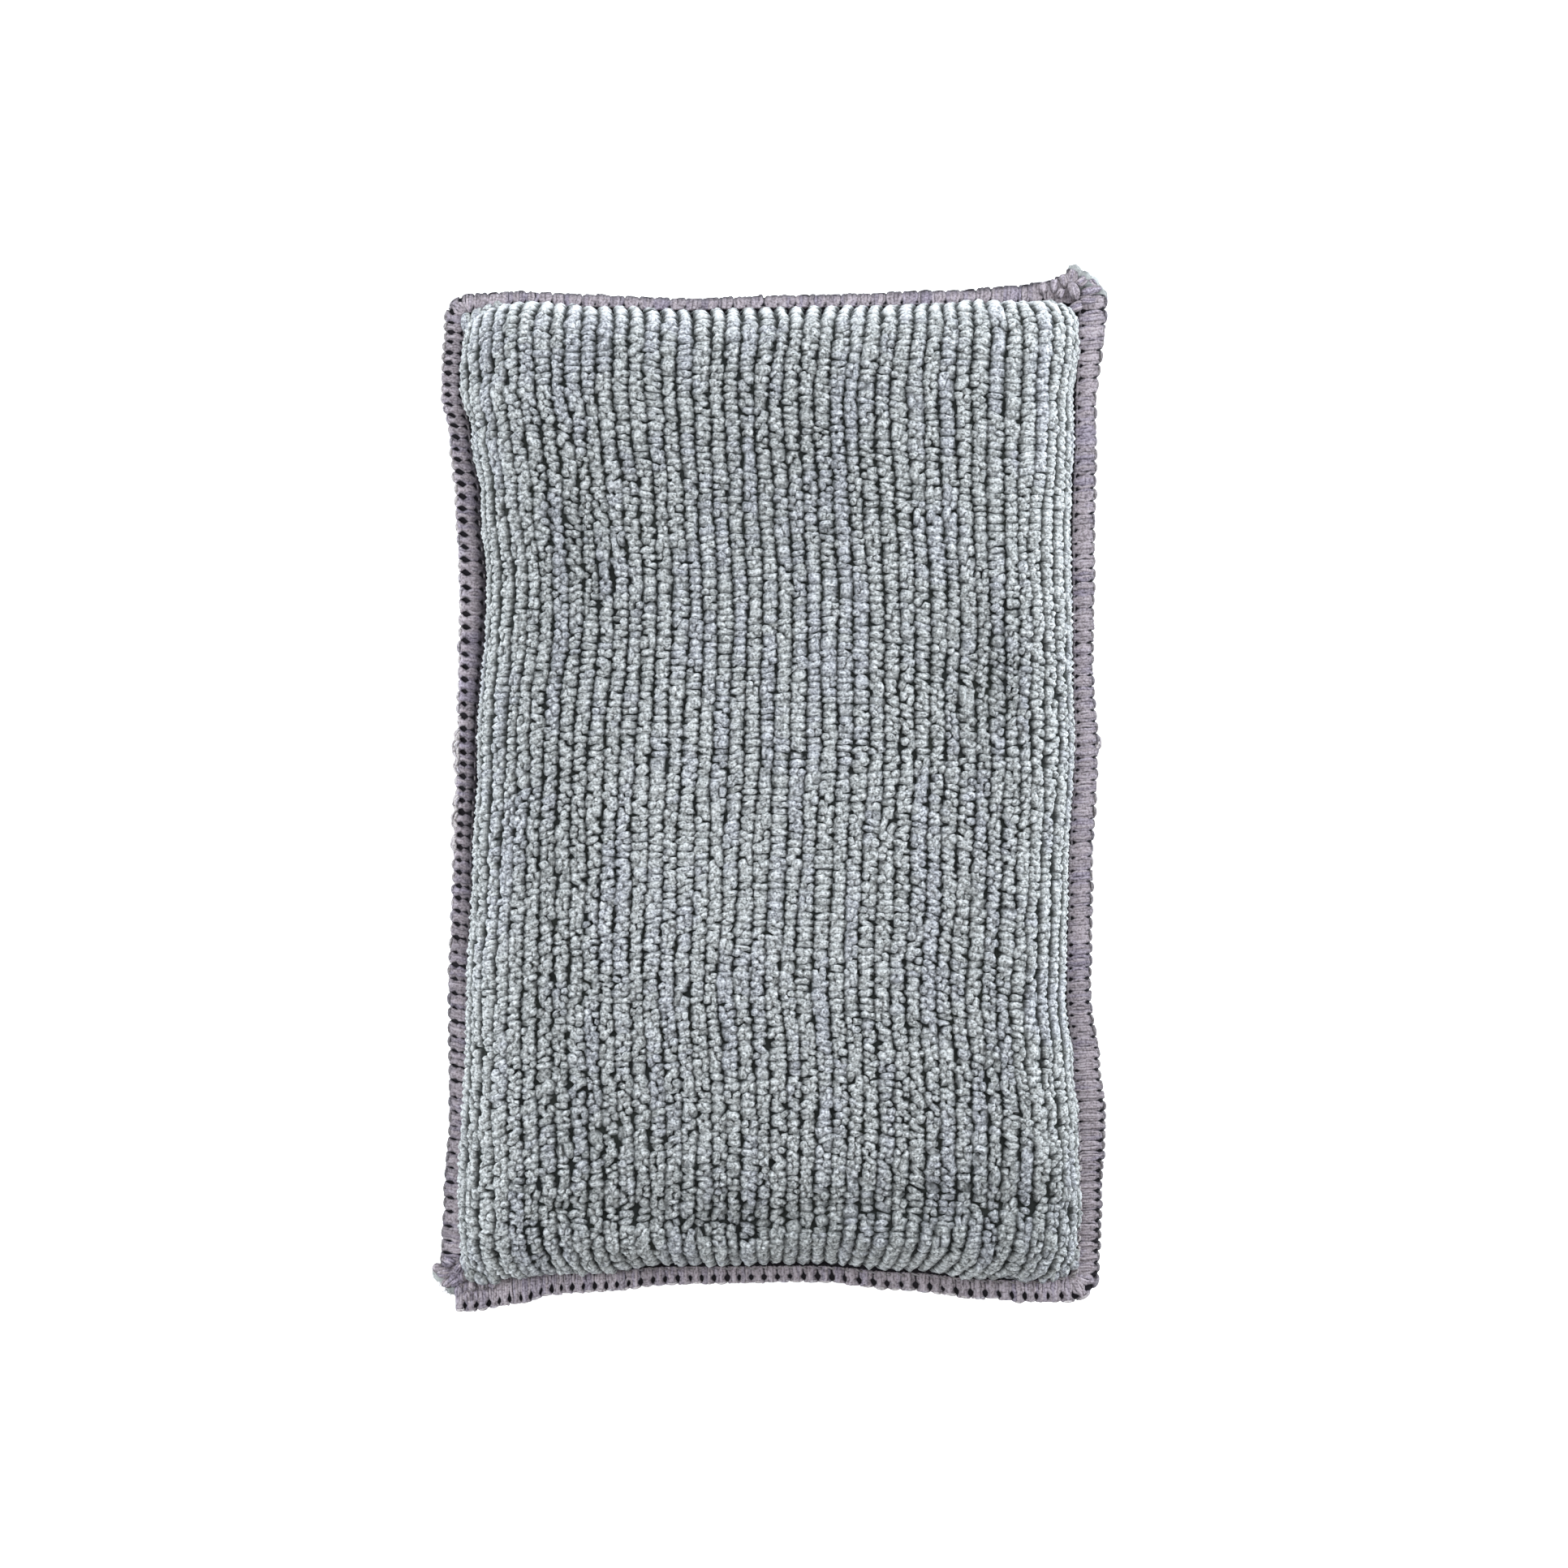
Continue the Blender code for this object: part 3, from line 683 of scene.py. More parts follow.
def splitIntoCurls(random, loops):
    # most loops show as two curls side by side, one further up the rib than the other
    along, near = loops["along"], pile["endWhole"]
    whole = random.random(len(along)) < 1 - pile["splitShare"] * (0.30 + 0.70 * loops["untidy"])
    whole |= (halfAlong - along < near["top"]) | (halfAlong + along < near["bottom"])
    parts = [{key: value[whole] for key, value in loops.items()}]
    for side in (-1, 1):
        part = {key: value[~whole] for key, value in loops.items()}
        size = random.uniform(0.82, 1.22, (3, len(part["rib"])))
        part["across"] = part["across"] + side * 0.40 * size[0] * part["wide"]
        climb = np.tanh(1.5 * part["slant"]) * 0.45 + 0.18 * random.standard_normal(size.shape[1])
        part["along"] = part["along"] + side * climb * part["half"]
        part["wide"] = part["wide"] * 0.66 * size[1]
        part["half"] = part["half"] * size[2]
        part["whole"] = np.zeros(size.shape[1])
        parts.append(part)
    return {key: np.concatenate([part[key] for part in parts]) for key in loops}


def seatLoops(random, front):
    # sets each loop on the cloth, and leaves out those that would crowd it where it is drawn together
    loops = planLoops(random)
    if front:
        loops = splitIntoCurls(random, loops)
    count = len(loops["along"])
    shift = np.clip(random.standard_normal(count), -1.5, 1.5) * pile["jitter"] * (0.3 + loops["untidy"])
    wide = loops["wide"] * (1 + 0.06 * random.standard_normal(count))
    across = np.clip(loops["across"] + shift, -halfAcross + wide, halfAcross - wide)
    along = np.clip(loops["along"], -halfAlong + 0.3 * mm, halfAlong - 0.3 * mm)
    fromSide, fromEnd = halfAcross - np.abs(across), halfAlong - np.abs(along)
    point, over, up, out, (stretchOver, stretchUp) = faceFrame(gathered(across, along), along, front)
    someUnder, someShare, allUnder = pile["crowded"]
    crowded = (stretchOver * stretchUp < someUnder) & (random.random(count) < someShare)
    crowded |= stretchOver * stretchUp < allUnder
    crowded |= (fromEnd < pile["bareCorner"]) & (fromSide < pile["sideReach"])
    seated = {"across": across, "along": along, "wide": wide, "fromSide": fromSide, "fromEnd": fromEnd}
    seated |= {"point": point, "over": over, "up": up, "out": out}
    seated |= {"stretchOver": stretchOver, "stretchUp": stretchUp}
    return {key: value[~crowded] for key, value in (loops | seated).items()}


def spilled(loops, front):
    # loops near the seam stand out over the overlocking, most of all in the corners
    across, along, fromSide, fromEnd = (loops[key] for key in ("across", "along", "fromSide", "fromEnd"))
    sideEdge, endEdge = bell(fromSide, pile["spillReach"]), bell(fromEnd, pile["spillReach"])
    corner = bell(np.hypot(fromSide, fromEnd), pile["cornerReach"])
    (atSide, atBottom, atTop), (cornerX, cornerY, cornerZ) = pile["spill"], pile["cornerSpill"]
    atLowRight, reach = pile["lowRightSpill"]
    x = np.sign(across) * (atSide * sideEdge + cornerX * corner)
    x += atLowRight * (across > 0) * nearBottom(along) * bell(fromSide, reach)
    y = np.sign(along) * (np.where(along < 0, atBottom, atTop) * endEdge + cornerY * corner)
    z = (1 if front else -0.4) * (0.2 * mm * endEdge + cornerZ * corner)
    return np.stack((x, y, z), -1)


def loopShape(random, grid, wide, long, height, endLoop, besideSeam, untidy, whole):
    # a loop's points across, along and out of the cloth, and the share of its half width that each is at
    count = len(wide)
    alpha = np.radians(np.linspace(-pile["arc"], pile["arc"], grid[0]))[None, :, None]
    beta = np.radians(np.linspace(-pile["arc"], pile["arc"], grid[1]))[None, None, :]
    s, t = np.sin(alpha), np.sin(beta)
    ca, cb = np.cos(alpha), np.cos(beta)
    phase = random.uniform(0, 2 * np.pi, (3, count, 1, 1))
    dome = np.clip(ca, 0, 1) ** 0.9 * np.clip(cb, 0, 1) ** 0.6
    reachS, reachT = pile["curlReach"]
    curls = np.zeros((count, *grid))  # a whole loop is a bunch of a few curls
    for number in range(pile["curls"]):
        middleS = (number + 0.5) / pile["curls"] * 1.5 - 0.75 + random.uniform(-0.2, 0.2, (count, 1, 1))
        middleT = random.uniform(-0.6, 0.6, (count, 1, 1))
        curls = np.maximum(curls, bell(s - middleS, reachS) * bell(t - middleT, reachT))
    smooth = pile["curlDepth"] * (0.5 + 0.8 * untidy) * (0.45 + 0.55 * whole) * (1 - 0.75 * endLoop)
    z = height * (dome * (1 - smooth + smooth * 1.25 * curls) - 0.22 * ((ca < 0) | (cb < 0)))
    blunt, tapered = 0.20 * (1 - besideSeam), 0.34 * (1 - 0.6 * besideSeam)
    x = wide * s * (1 - blunt + blunt * np.clip(cb, 0, 1)) * (1 + 0.06 * np.sin(4 * t + phase[0]))
    y = long * t * (1 - tapered + tapered * np.clip(ca, 0, 1)) * (1 + 0.08 * np.sin(3 * s + phase[1]))
    amount = pile["rough"] * (1 - 0.6 * endLoop) * (1 - 0.85 * besideSeam)
    rough = amount * random.standard_normal((3,) + z.shape) * (dome > 0)
    return x + 0.6 * rough[0], y + 0.6 * rough[1], z + rough[2], s


def pileLoops(front):
    # every loop's rib, points, map in mm, and tint, height and smoothness, as arrays of loops by points
    random = np.random.default_rng(pile["seed"][front])
    loops = seatLoops(random, front)
    along, fromSide, fromEnd = loops["along"], loops["fromSide"], loops["fromEnd"]
    count = len(along)
    nearSeam = np.clip(np.minimum(fromEnd, fromSide) / (2.5 * mm), 0, 1)
    pressed = pressedAt(loops["point"]) if front else np.zeros(count)
    besideSeam = bell(fromSide, pile["sideReach"])
    large, fading = pile["endReach"]
    endLoop = bell(np.clip(fromEnd - large, 0, None), fading)
    endLoop = endLoop * np.where(along < 0, pile["bottomSmooth"], 1.0) * (1 - 0.5 * besideSeam)
    besideSeam = besideSeam * (1 - 0.65 * nearBottom(along))
    wide = loops["wide"] * np.maximum(loops["stretchOver"], 0.5)
    wide = wide * (1 - 0.12 * pressed - 0.12 * besideSeam - 0.06 * endLoop)
    overlap = random.uniform(*pile["overlap"], count)
    overlap = overlap + (1.05 - overlap) * endLoop
    long = loops["half"] * overlap * np.maximum(loops["stretchUp"], 0.75)
    deep = np.clip(1 + pile["unevenness"] * random.standard_normal(count), *pile["deepest"])
    deep = 1 + (deep - 1) * (1 - 0.7 * np.maximum(besideSeam, endLoop))
    height = pile["height"] * deep * (0.65 + 0.35 * nearSeam) * (1 - 0.25 * pressed)
    sharedTilt, ownTilt = np.radians(pile["tilt"])
    tilt = sharedTilt * loops["slant"] + ownTilt * (0.3 + loops["untidy"]) * random.standard_normal(count)
    base = loops["point"] - loops["out"] * (pile["height"] * (0.35 + 0.65 * nearSeam))[:, None]
    base += spilled(loops, front)

    def each(values):
        return values[:, None, None]

    endLoop, besideSeam, height, tilt = each(endLoop), each(besideSeam), each(height), each(tilt)
    untidy, whole = each(loops["untidy"]), each(loops["whole"])
    sizes = each(wide), each(long), height, endLoop, besideSeam, untidy, whole
    x, y, z, s = loopShape(random, pile["grid"][front], *sizes)
    turnedX = x * np.cos(tilt) - y * np.sin(tilt)
    turnedY = x * np.sin(tilt) + y * np.cos(tilt)
    # the rib as a whole is round, so that a curl at its side stands lower
    offRib = (each(loops["across"] - loops["ribMiddle"]) + turnedX) / each(loops["ribHalf"])
    z = z * (1 - pile["ribRound"] * np.clip(np.abs(offRib), 0, 1.1) ** 2.5)
    points = base[:, None, None]
    for way, amount in (("over", turnedX), ("up", turnedY), ("out", z)):
        points = points + loops[way][:, None, None] * amount[..., None]
    points[..., 2] = np.maximum(points[..., 2], pile["lowest"])
    uv = np.stack((x, y), -1) / mm + random.uniform(0, 40, (count, 1, 1, 2))
    # painted shade: each point is painted darker the lower it lies in its loop, and the eye looks along the
    # cloth beside a seam, so there its ribs are painted in shade from higher up
    lift = z / height - (0.42 * besideSeam + 0.2 * endLoop) * np.abs(s)
    values = {
        "loopTint": np.broadcast_to(each(loops["tint"]), z.shape),
        # painted shade: pressed places, where the ribs stand open, are painted darker
        "paintedLight": np.clip(lift, 0, 1) * (1 - 0.35 * each(pressed)),
        # how smooth a loop is, which also paints it paler with painted light
        "loopSmoothAndLit": np.broadcast_to(np.clip(endLoop + 0.35 * besideSeam, 0, 1), z.shape),
    }
    return loops["rib"], points, uv, values


def makePile(front):
    rib, points, uv, values = pileLoops(front)
    stem = "frontPile" if front else "backPile"
    oneLoop = gridFaces(np.arange(points[0, ..., 0].size).reshape(pile["grid"][front]))
    pieces = []
    cuts = np.linspace(0, pile["ribs"], pile["strips"][front] + 1).astype(int)
    for letter, first, last in zip("ABCD", cuts, cuts[1:]):
        mine = (rib >= first) & (rib < last)
        faces = manyOf(oneLoop if front else oneLoop[:, ::-1], int(mine.sum()), points[0, ..., 0].size)
        stripUv = uv[mine].reshape(-1, 2)[faces.ravel()]
        mineOnly = {key: value[mine] for key, value in values.items()}
        pieces.append(makeMesh(stem + letter, points[mine], (faces,), stripUv, mineOnly))
    print("pile:", stem, pile["ribs"], "ribs,", len(rib), "loops")
    return pieces


# ---- the overlocked edge


overlock = {
    "gap": 1.1 * mm,  # from the seam to the inner ends of the stitches
    "cornerGap": 0.5 * mm,
    "cornerReach": 10.0 * mm,  # over which the gap narrows to a corner
    "endRoom": (0.25 * mm, 0.4 * mm),  # before the first stitch of a run and after its last
    "strands": 4,  # threads side by side in one stitch
    "topPlaces": (-0.05, 0.18, 0.40, 0.62, 0.84, 1.0),  # shares of the flat part where a strand has points
    "underPlaces": (0.9, 0.45, -0.05),
    "rimAngles": (60, 25, -25, -60),
    "strandSides": 6,
    "strandSize": (0.34 * mm, 0.19 * mm),  # half its width and half its height
    "strandPitch": 1.9 * mm,  # the stitch length at which it is so wide
    "twist": 0.9,  # turns of a looper thread in 1 mm
    "coreHeight": 0.70 * mm,
    "coreSides": 10,
    "coreStep": 1.2 * mm,
    "coreInset": (0.1 * mm, 0.5 * mm, 0.22 * mm),  # from the run's ends, back over the seam, and from the rim
    "coreRipple": (0.08, 2900),  # its share, and radians in 1 m
    "rimInset": 0.10 * mm,  # from the rim to the middles of the strands that go round it
    "strandInset": 0.20 * mm,  # from the band's upper and lower surface to the middles of the strands
    "rimReach": 0.5 * mm,
    "pinchAt": (0.35 * mm, 0.42 * mm),  # how far out from its needle end a stitch is pinched, and its reach
    "shadeReach": (1.5 * mm, 0.85 * mm),  # out from the needle line, and in from the rim
    "stray": 0.05 * mm,
    "waves": 3,  # along one strand
    "thinnest": 0.12,  # share of its place in the stitch to which a strand is drawn in at most
    "purlRadius": (0.11 * mm, 0.27 * mm),  # at its ends and at its middle
    "purlPoints": 11,
    "needleRadius": (0.17 * mm, 0.25 * mm),  # where the thread is straight, and where it has slipped out
    "needlePoints": 7,
    "needleSides": 5,
    "needleTwist": 1.2,
    "slipped": 0.35 * mm,  # as far as the needle thread slips out
    "slippedUnder": (-48.0 * mm, 6.0 * mm),  # y under which it starts to, and over what length it comes out
    "tails": {"left": 0.1 * mm, "top": 0.2 * mm, "bottom": 1.8 * mm, "right": 1.8 * mm},
    "seed": 5,
}
# on the left, top, bottom and right side, as one value or as values at even places along the side: how wide
# the hole between two stitches is, how far in from the rim it lies and how far it reaches, how much a stitch
# is drawn in at its needle end and at the rim, how much painted shade darkens its threads further in and at
# the rim, the share of its length that it slips along the edge, the size of its knot, and how far the needle
# thread has slipped
sideNames = ("left", "top", "bottom", "right")
stitchLooks = {
    "parting": ((0.4, 0.5, 0.84, 0.82, 0.76), 0.22, 0.66, (0.85, 0.42, 0.36, 0.36)),
    "partAt": (1.00 * mm, 0.30 * mm, 0.92 * mm, 0.58 * mm),
    "partReach": (0.58 * mm, 0.40 * mm, 0.60 * mm, 0.42 * mm),
    "needlePinch": ((0.3, 0.4, 0.85, 0.85, 0.85), 0.40, 0.25, 0.55),
    "rimPinch": (0.12, 0.0, 0.0, 0.06),
    "innerShade": ((0.0, 0.1, 0.75, 0.75, 0.35), 0.10, 0.15, 0.08),
    "rimShade": ((0.6, 0.55, 0.0, 0.0, 0.35), (0.84, 0.86, 0.90), 0.0, 0.5),
    "slant": (0.30, 0.10, 0.06, 0.18),
    "purlSize": (1.1, 0.4, 0.75, 0.95),
    "needleOut": (0.0, 0.0, 0.1 * mm, 0.35 * mm),
}
trackColumns = ("x", "y", "outX", "outY", "gap", "band", "lean", "stitch", *stitchLooks)
outwardOf = {"left": (-1.0, 0.0), "right": (1.0, 0.0), "top": (0.0, 1.0), "bottom": (0.0, -1.0)}


def sideTrack(side, step=1.0 * mm):
    # the columns above, at even steps along one side
    upright = side in ("left", "right")
    length = 2 * (seamHalfLength if upright else seamHalfWidth)
    tail = overlock["tails"][side] / (0.5 * length)
    first = -1 - (tail if side in ("left", "bottom") else 0)
    last = 1 + (tail if side in ("right", "top") else 0)
    place = np.linspace(first, last, int(length / step) + 1)
    within = np.clip(place, -1, 1)
    point = seamSide(side, within)
    point[:, 1 if upright else 0] += (place - within) * 0.5 * length
    fromCorner = np.clip(0.5 * length * (1 - np.abs(within)) / overlock["cornerReach"], 0, 1)
    gap = overlock["cornerGap"] + (overlock["gap"] - overlock["cornerGap"]) * np.sqrt(fromCorner)
    out = np.tile(outwardOf[side], (len(place), 1))
    rest = [sideValue(side, column, within) for column in (bandColumn, leanColumn, stitchColumn)]
    looks = [atPlace(np.atleast_1d(values[sideNames.index(side)]), place) for values in stitchLooks.values()]
    return np.column_stack((point, out, gap, rest[0] * mm, np.radians(rest[1]), rest[2] * mm, *looks))


def cornerTrack(before, after, steps=16):
    share = (np.arange(1, steps) / steps)[:, None]
    rows = before + (after - before) * share
    start = math.atan2(before[3], before[2])
    turn = math.remainder(math.atan2(after[3], after[2]) - start, 2 * math.pi)
    angle = start + turn * share[:, 0]
    rows[:, 2], rows[:, 3] = np.cos(angle), np.sin(angle)
    return rows


def runTrack(first, second):
    one, two = sideTrack(first), sideTrack(second)
    rows = np.concatenate((one, cornerTrack(one[-1], two[0]), two))
    middle = rows[:, :2] + rows[:, 2:4] * (0.6 * rows[:, 5:6])
    step = np.linalg.norm(np.diff(middle, axis=0), axis=1)
    return np.concatenate(((0.0,), np.cumsum(step))), rows


def trackValue(track, s, column):
    return np.interp(s, track[0], track[1][:, trackColumns.index(column)])


def trackPoint(track, s, out, lift):
    # a point at length s along a run, out from the seam and lifted off the band's middle
    x, y, outX, outY, lean = (trackValue(track, s, column) for column in ("x", "y", "outX", "outY", "lean"))
    reach = (out * np.cos(lean) - lift * np.sin(lean)) / np.hypot(outX, outY)
    x = x + outX * reach + padShape["centre"][0]
    y = y + outY * reach + padShape["centre"][1]
    return np.stack((x, y, padShape["seamHeight"] + out * np.sin(lean) + lift * np.cos(lean)), -1)


def stitchPlaces(track, random):
    # where each stitch starts, with the stitch length that the side asks for
    before, after = overlock["endRoom"]
    places = [before]
    end = track[0][-1] - after
    while places[-1] < end:
        pitch = float(trackValue(track, places[-1], "stitch"))
        places.append(places[-1] + pitch * (1 + 0.05 * random.standard_normal()))
    return np.array(places[:-1]), np.diff(places)


def makeCore(name, track):
    # the cut edges of both cloths, from the seam out to the rim, inside the stitches
    (atEnds, overSeam, atRim), (ripple, rippleTurns) = overlock["coreInset"], overlock["coreRipple"]
    s = np.linspace(atEnds, track[0][-1] - atEnds, int(track[0][-1] / overlock["coreStep"]))
    band = trackValue(track, s, "band")
    angle = 2 * np.pi * np.arange(overlock["coreSides"]) / overlock["coreSides"]
    inner, outer = -overSeam, band - atRim
    half = 0.5 * (outer - inner)
    out = inner + half[:, None] * (1 + np.sign(np.cos(angle)) * np.abs(np.cos(angle)) ** 0.6)
    lift = overlock["coreHeight"] * np.sin(angle) * np.ones(len(s))[:, None]
    lift = lift * (1 + ripple * np.sin(s[:, None] * rippleTurns + angle * 2))
    points = trackPoint(track, s[:, None] + 0 * out, out, lift)
    quads, caps = tubeFaces(*points.shape[:2])
    if np.cross(track[1][1, :2] - track[1][0, :2], track[1][0, 2:4]) <= 0:
        quads, caps = quads[:, ::-1], caps[:, ::-1]
    return makeMesh(name, points, (quads, caps))


def makeStitches(name, track, seed):
    # the looper threads that wrap the edge, several strands to a stitch
    random = np.random.default_rng(seed)
    starts, pitches = stitchPlaces(track, random)
    strands = overlock["strands"]
    top, under = np.array(overlock["topPlaces"]), np.array(overlock["underPlaces"])
    angle = np.radians(np.array(overlock["rimAngles"]))
    n, count = len(starts), len(top) + len(angle) + len(under)

    def strayed(strandsApart, amount):
        return random.standard_normal((n, strandsApart, 1)) * amount

    j = ((np.arange(strands) + 0.5) / strands - 0.5)[None, :, None]
    pitch = pitches[:, None, None]
    columns = ("gap", "band", *list(stitchLooks)[:8])  # the last two looks are for the knots and the needle
    gap, band, parting, partAt, partReach, needlePinch, rimPinch, innerShade, rimShade, slant = (
        trackValue(track, starts, column)[:, None, None] for column in columns
    )
    # flat over the top from the needle line, round the rim, and flat again below
    high = 0.5 * padShape["bandThickness"] - overlock["strandInset"]
    turn = band - overlock["rimInset"] - high
    flat = turn - gap
    out = np.concatenate((gap + flat * top, turn + high * np.cos(angle), gap + flat * under), -1)
    level = np.concatenate((np.ones(len(top)), np.sin(angle), -np.ones(len(under))))
    fromRim = band - out
    atHole = np.exp(-(((fromRim - partAt) / partReach) ** 4))
    atRim = np.clip(1 - fromRim / overlock["rimReach"], 0, 1)
    pinchOut, pinchReach = overlock["pinchAt"]
    atNeedle = bell(out - gap - pinchOut, pinchReach)
    fan = 1.06 - parting * atHole - rimPinch * atRim - needlePinch * atNeedle
    fan = np.maximum(fan, overlock["thinnest"])
    slip = slant * pitch * ((out - gap) / (band - gap) - 0.5)
    s = starts[:, None, None] + j * pitch * fan + slip + strayed(strands, overlock["stray"])
    wave = overlock["waves"] * 2 * np.pi * np.arange(count) / count + random.uniform(0, 6, (n, strands, 1))
    s = s + overlock["stray"] * np.sin(wave)
    pillow = 1 - (2 * j) ** 2 * (0.10 + 0.25 * parting * atHole)  # a stitch is a soft pillow of threads
    lift = high * level * pillow * (1 - 0.16 * atNeedle) + strayed(strands, overlock["stray"])
    out = out + (strayed(1, 0.10) + strayed(strands, 0.08)) * mm * atRim
    paths = trackPoint(track, s, out, lift).reshape(n * strands, count, 3)
    within = np.clip(s, 0.6 * mm, track[0][-1] - 0.6 * mm)
    axis = trackPoint(track, within + 0.5 * mm, out, lift) - trackPoint(track, within - 0.5 * mm, out, lift)
    upward = unit(np.cross(axis.reshape(n * strands, count, 3), np.gradient(paths, axis=1)))
    upward = upward * np.sign(upward[len(upward) // 2, 0, 2])  # out of the band, whichever way the run goes
    wide, thick = overlock["strandSize"]
    wide = wide * (pitch / overlock["strandPitch"]) * (1 - 0.15 * atRim)
    wide = wide * random.uniform(0.8, 1.2, (n, strands, 1))
    thick = thick * random.uniform(0.85, 1.2, (n, strands, 1))
    tint = random.random((n, 1)) * 0.35 + random.random((n, strands)) * 0.65
    innerReach, rimReach = overlock["shadeReach"]
    # painted shade: threads are darker further in beside the pile, at the rim, at random, and on a stitch's
    # outer strands by its hole and its needle pinch
    lit = 1 - innerShade * bell(np.clip(out - gap, 0, None), innerReach)
    lit = lit * random.uniform(0.75, 1.0, (n, strands, 1)) * (1 - rimShade * bell(fromRim, rimReach))
    lit = lit * (1 - 0.7 * (2 * j) ** 2 * np.maximum(atHole * parting, atNeedle * needlePinch))
    sizes = (np.broadcast_to(values, (n, strands, count)) for values in (wide, thick, lit))
    wide, thick, lit = (values.reshape(n * strands, count) for values in sizes)
    sides, twist = overlock["strandSides"], overlock["twist"]
    piece = tubeMesh(name, paths, (wide, thick), sides, twist, tint.reshape(-1), lit, upward)
    print("overlocking:", name, n, "stitches")
    return piece, starts, pitches


def makePurl(name, track, starts, pitches, seed):
    # the knotted loops along the rim, where the two looper threads lock
    random = np.random.default_rng(seed)
    n = len(starts)
    tau = np.linspace(-1, 1, overlock["purlPoints"])[None, :]
    bow = np.cos(0.5 * np.pi * tau)
    centre = starts + trackValue(track, starts, "slant") * 0.5 * pitches
    s = centre[:, None] + pitches[:, None] * 0.38 * np.sin(0.5 * np.pi * tau) * (1 + 0.12 * bow)
    size = trackValue(track, s, "purlSize")
    lean = 0.30 + 0.2 * random.standard_normal((n, 1))
    out = -0.40 + 0.34 * bow * size + 0.07 * random.standard_normal((n, 1))
    out = trackValue(track, s, "band") + out * mm
    lift = (lean * tau + 0.45 * bow + 0.14 * random.standard_normal((n, 1))) * mm
    paths = trackPoint(track, s, out, lift)
    thin, fat = overlock["purlRadius"]
    radius = (thin + (fat - thin) * bow) * (0.4 + 0.6 * size) * random.uniform(0.8, 1.2, (n, 1))
    # painted shade: the knot is darker where the side's rim is shaded, and towards its ends
    lit = (1 - trackValue(track, s, "rimShade")) * (0.55 + 0.45 * bow)
    return tubeMesh(name, paths, radius, overlock["strandSides"], overlock["twist"], random.random(n), lit)


def makeNeedleLine(name, track, starts, pitches, seed):
    # the straight needle thread along the inner edge of the overlocking
    random = np.random.default_rng(seed)
    n = len(starts)
    tau = np.linspace(-0.5, 0.5, overlock["needlePoints"])[None, :]
    s = starts[:, None] + pitches[:, None] * (tau * 1.05 + 0.5)
    gap = trackValue(track, s, "gap")
    # low on the right it has slipped out over the stitches in a zigzag
    start, over = overlock["slippedUnder"]
    low = np.clip((start - trackPoint(track, s, gap, 0 * s)[..., 1]) / over, 0, 1)
    needleOut = trackValue(track, s, "needleOut") * low
    slipped = np.clip(needleOut / overlock["slipped"], 0, 1)
    out = gap + needleOut * (1.2 + 1.1 * np.sin(2 * np.pi * tau))
    out = out + (0.05 + 0.06 * random.standard_normal((n, 1))) * mm
    high = 0.8 * slipped
    lift = 0.5 * padShape["bandThickness"] - (0.30 - 0.4 * high + (4.5 - 3 * high) * np.abs(tau) ** 3) * mm
    thin, thick = overlock["needleRadius"]
    radius = thin + (thick - thin) * slipped
    # painted shade: the tucked-in thread is darker, and paler where it has slipped out
    paths, lit = trackPoint(track, s, out, lift), 0.4 + 0.6 * high
    sides, twist = overlock["needleSides"], overlock["needleTwist"]
    return tubeMesh(name, paths, radius, sides, twist, random.random(n), lit)


# ---- cut cloth and loose threads at the corners


# outline of the cut cloth in mm, seen from above, its loose threads, which way it points (degrees), and the
# lumps of thread on it: x and y of the middle, height over the seam, direction (degrees), length, half width
tufts = {
    "corner_tuft_top_right": {
        "outline": (
            (44.0, 77.2), (45.0, 78.7), (46.2, 79.5), (47.3, 78.8), (48.6, 77.6),
            (49.9, 76.4), (50.7, 75.2), (49.2, 73.8), (47.0, 73.6), (44.9, 75.0),
        ),
        "threads": 12,
        "length": (0.5 * mm, 1.1 * mm),
        "radius": 0.09 * mm,
        "away": 48,
        "lumps": (
            (45.9, 75.3, 1.8, 108, 2.9, 0.66), (47.0, 76.7, 1.2, 40, 1.8, 0.62),
            (48.5, 75.4, 1.5, 12, 3.0, 0.62), (47.9, 73.9, 1.5, 4, 2.4, 0.60),
            (44.4, 76.9, 1.5, 100, 1.9, 0.62), (45.6, 77.9, 1.0, 75, 1.6, 0.52),
            (42.9, 76.1, 1.5, 85, 1.9, 0.60), (41.3, 75.7, 1.5, 88, 1.8, 0.58),
            (48.9, 76.6, 0.9, 135, 1.3, 0.50), (43.9, 75.0, 1.6, 60, 1.5, 0.55),
            (46.3, 72.9, 1.6, 20, 1.9, 0.62),
        ),
        "seed": 31,
    },
    "corner_tuft_bottom_left": {
        "outline": (
            (-49.9, -71.6), (-51.0, -73.4), (-49.6, -75.0), (-47.8, -76.6),
            (-46.6, -77.6), (-45.4, -75.6), (-46.2, -72.6), (-48.0, -71.4),
        ),
        "threads": 90,
        "length": (0.3 * mm, 0.95 * mm),
        "radius": 0.06 * mm,
        "away": 205,
        "lumps": (
            (-49.4, -73.2, 1.2, 184, 1.9, 0.72), (-50.4, -72.6, 0.8, 170, 1.2, 0.55),
            (-48.6, -71.6, 1.4, 160, 1.7, 0.66), (-46.6, -73.9, 1.6, 100, 1.5, 0.62),
            (-47.8, -74.4, 1.3, 215, 1.6, 0.66), (-48.9, -74.8, 0.9, 240, 1.4, 0.58),
            (-45.1, -75.2, 1.6, 95, 1.6, 0.62), (-43.6, -74.9, 1.6, 90, 1.5, 0.60),
            (-47.1, -76.0, 1.1, 262, 1.7, 0.60), (-47.0, -72.4, 1.6, 60, 1.5, 0.62),
            (-42.1, -74.9, 1.5, 85, 1.5, 0.58), (-45.9, -76.8, 1.1, 92, 1.5, 0.60),
            (-44.3, -76.7, 1.2, 90, 1.5, 0.60),
        ),
        "seed": 47,
    },
}
tuftHeight = 0.8 * mm  # half its thickness
lumpPoints, lumpSides = 13, 8

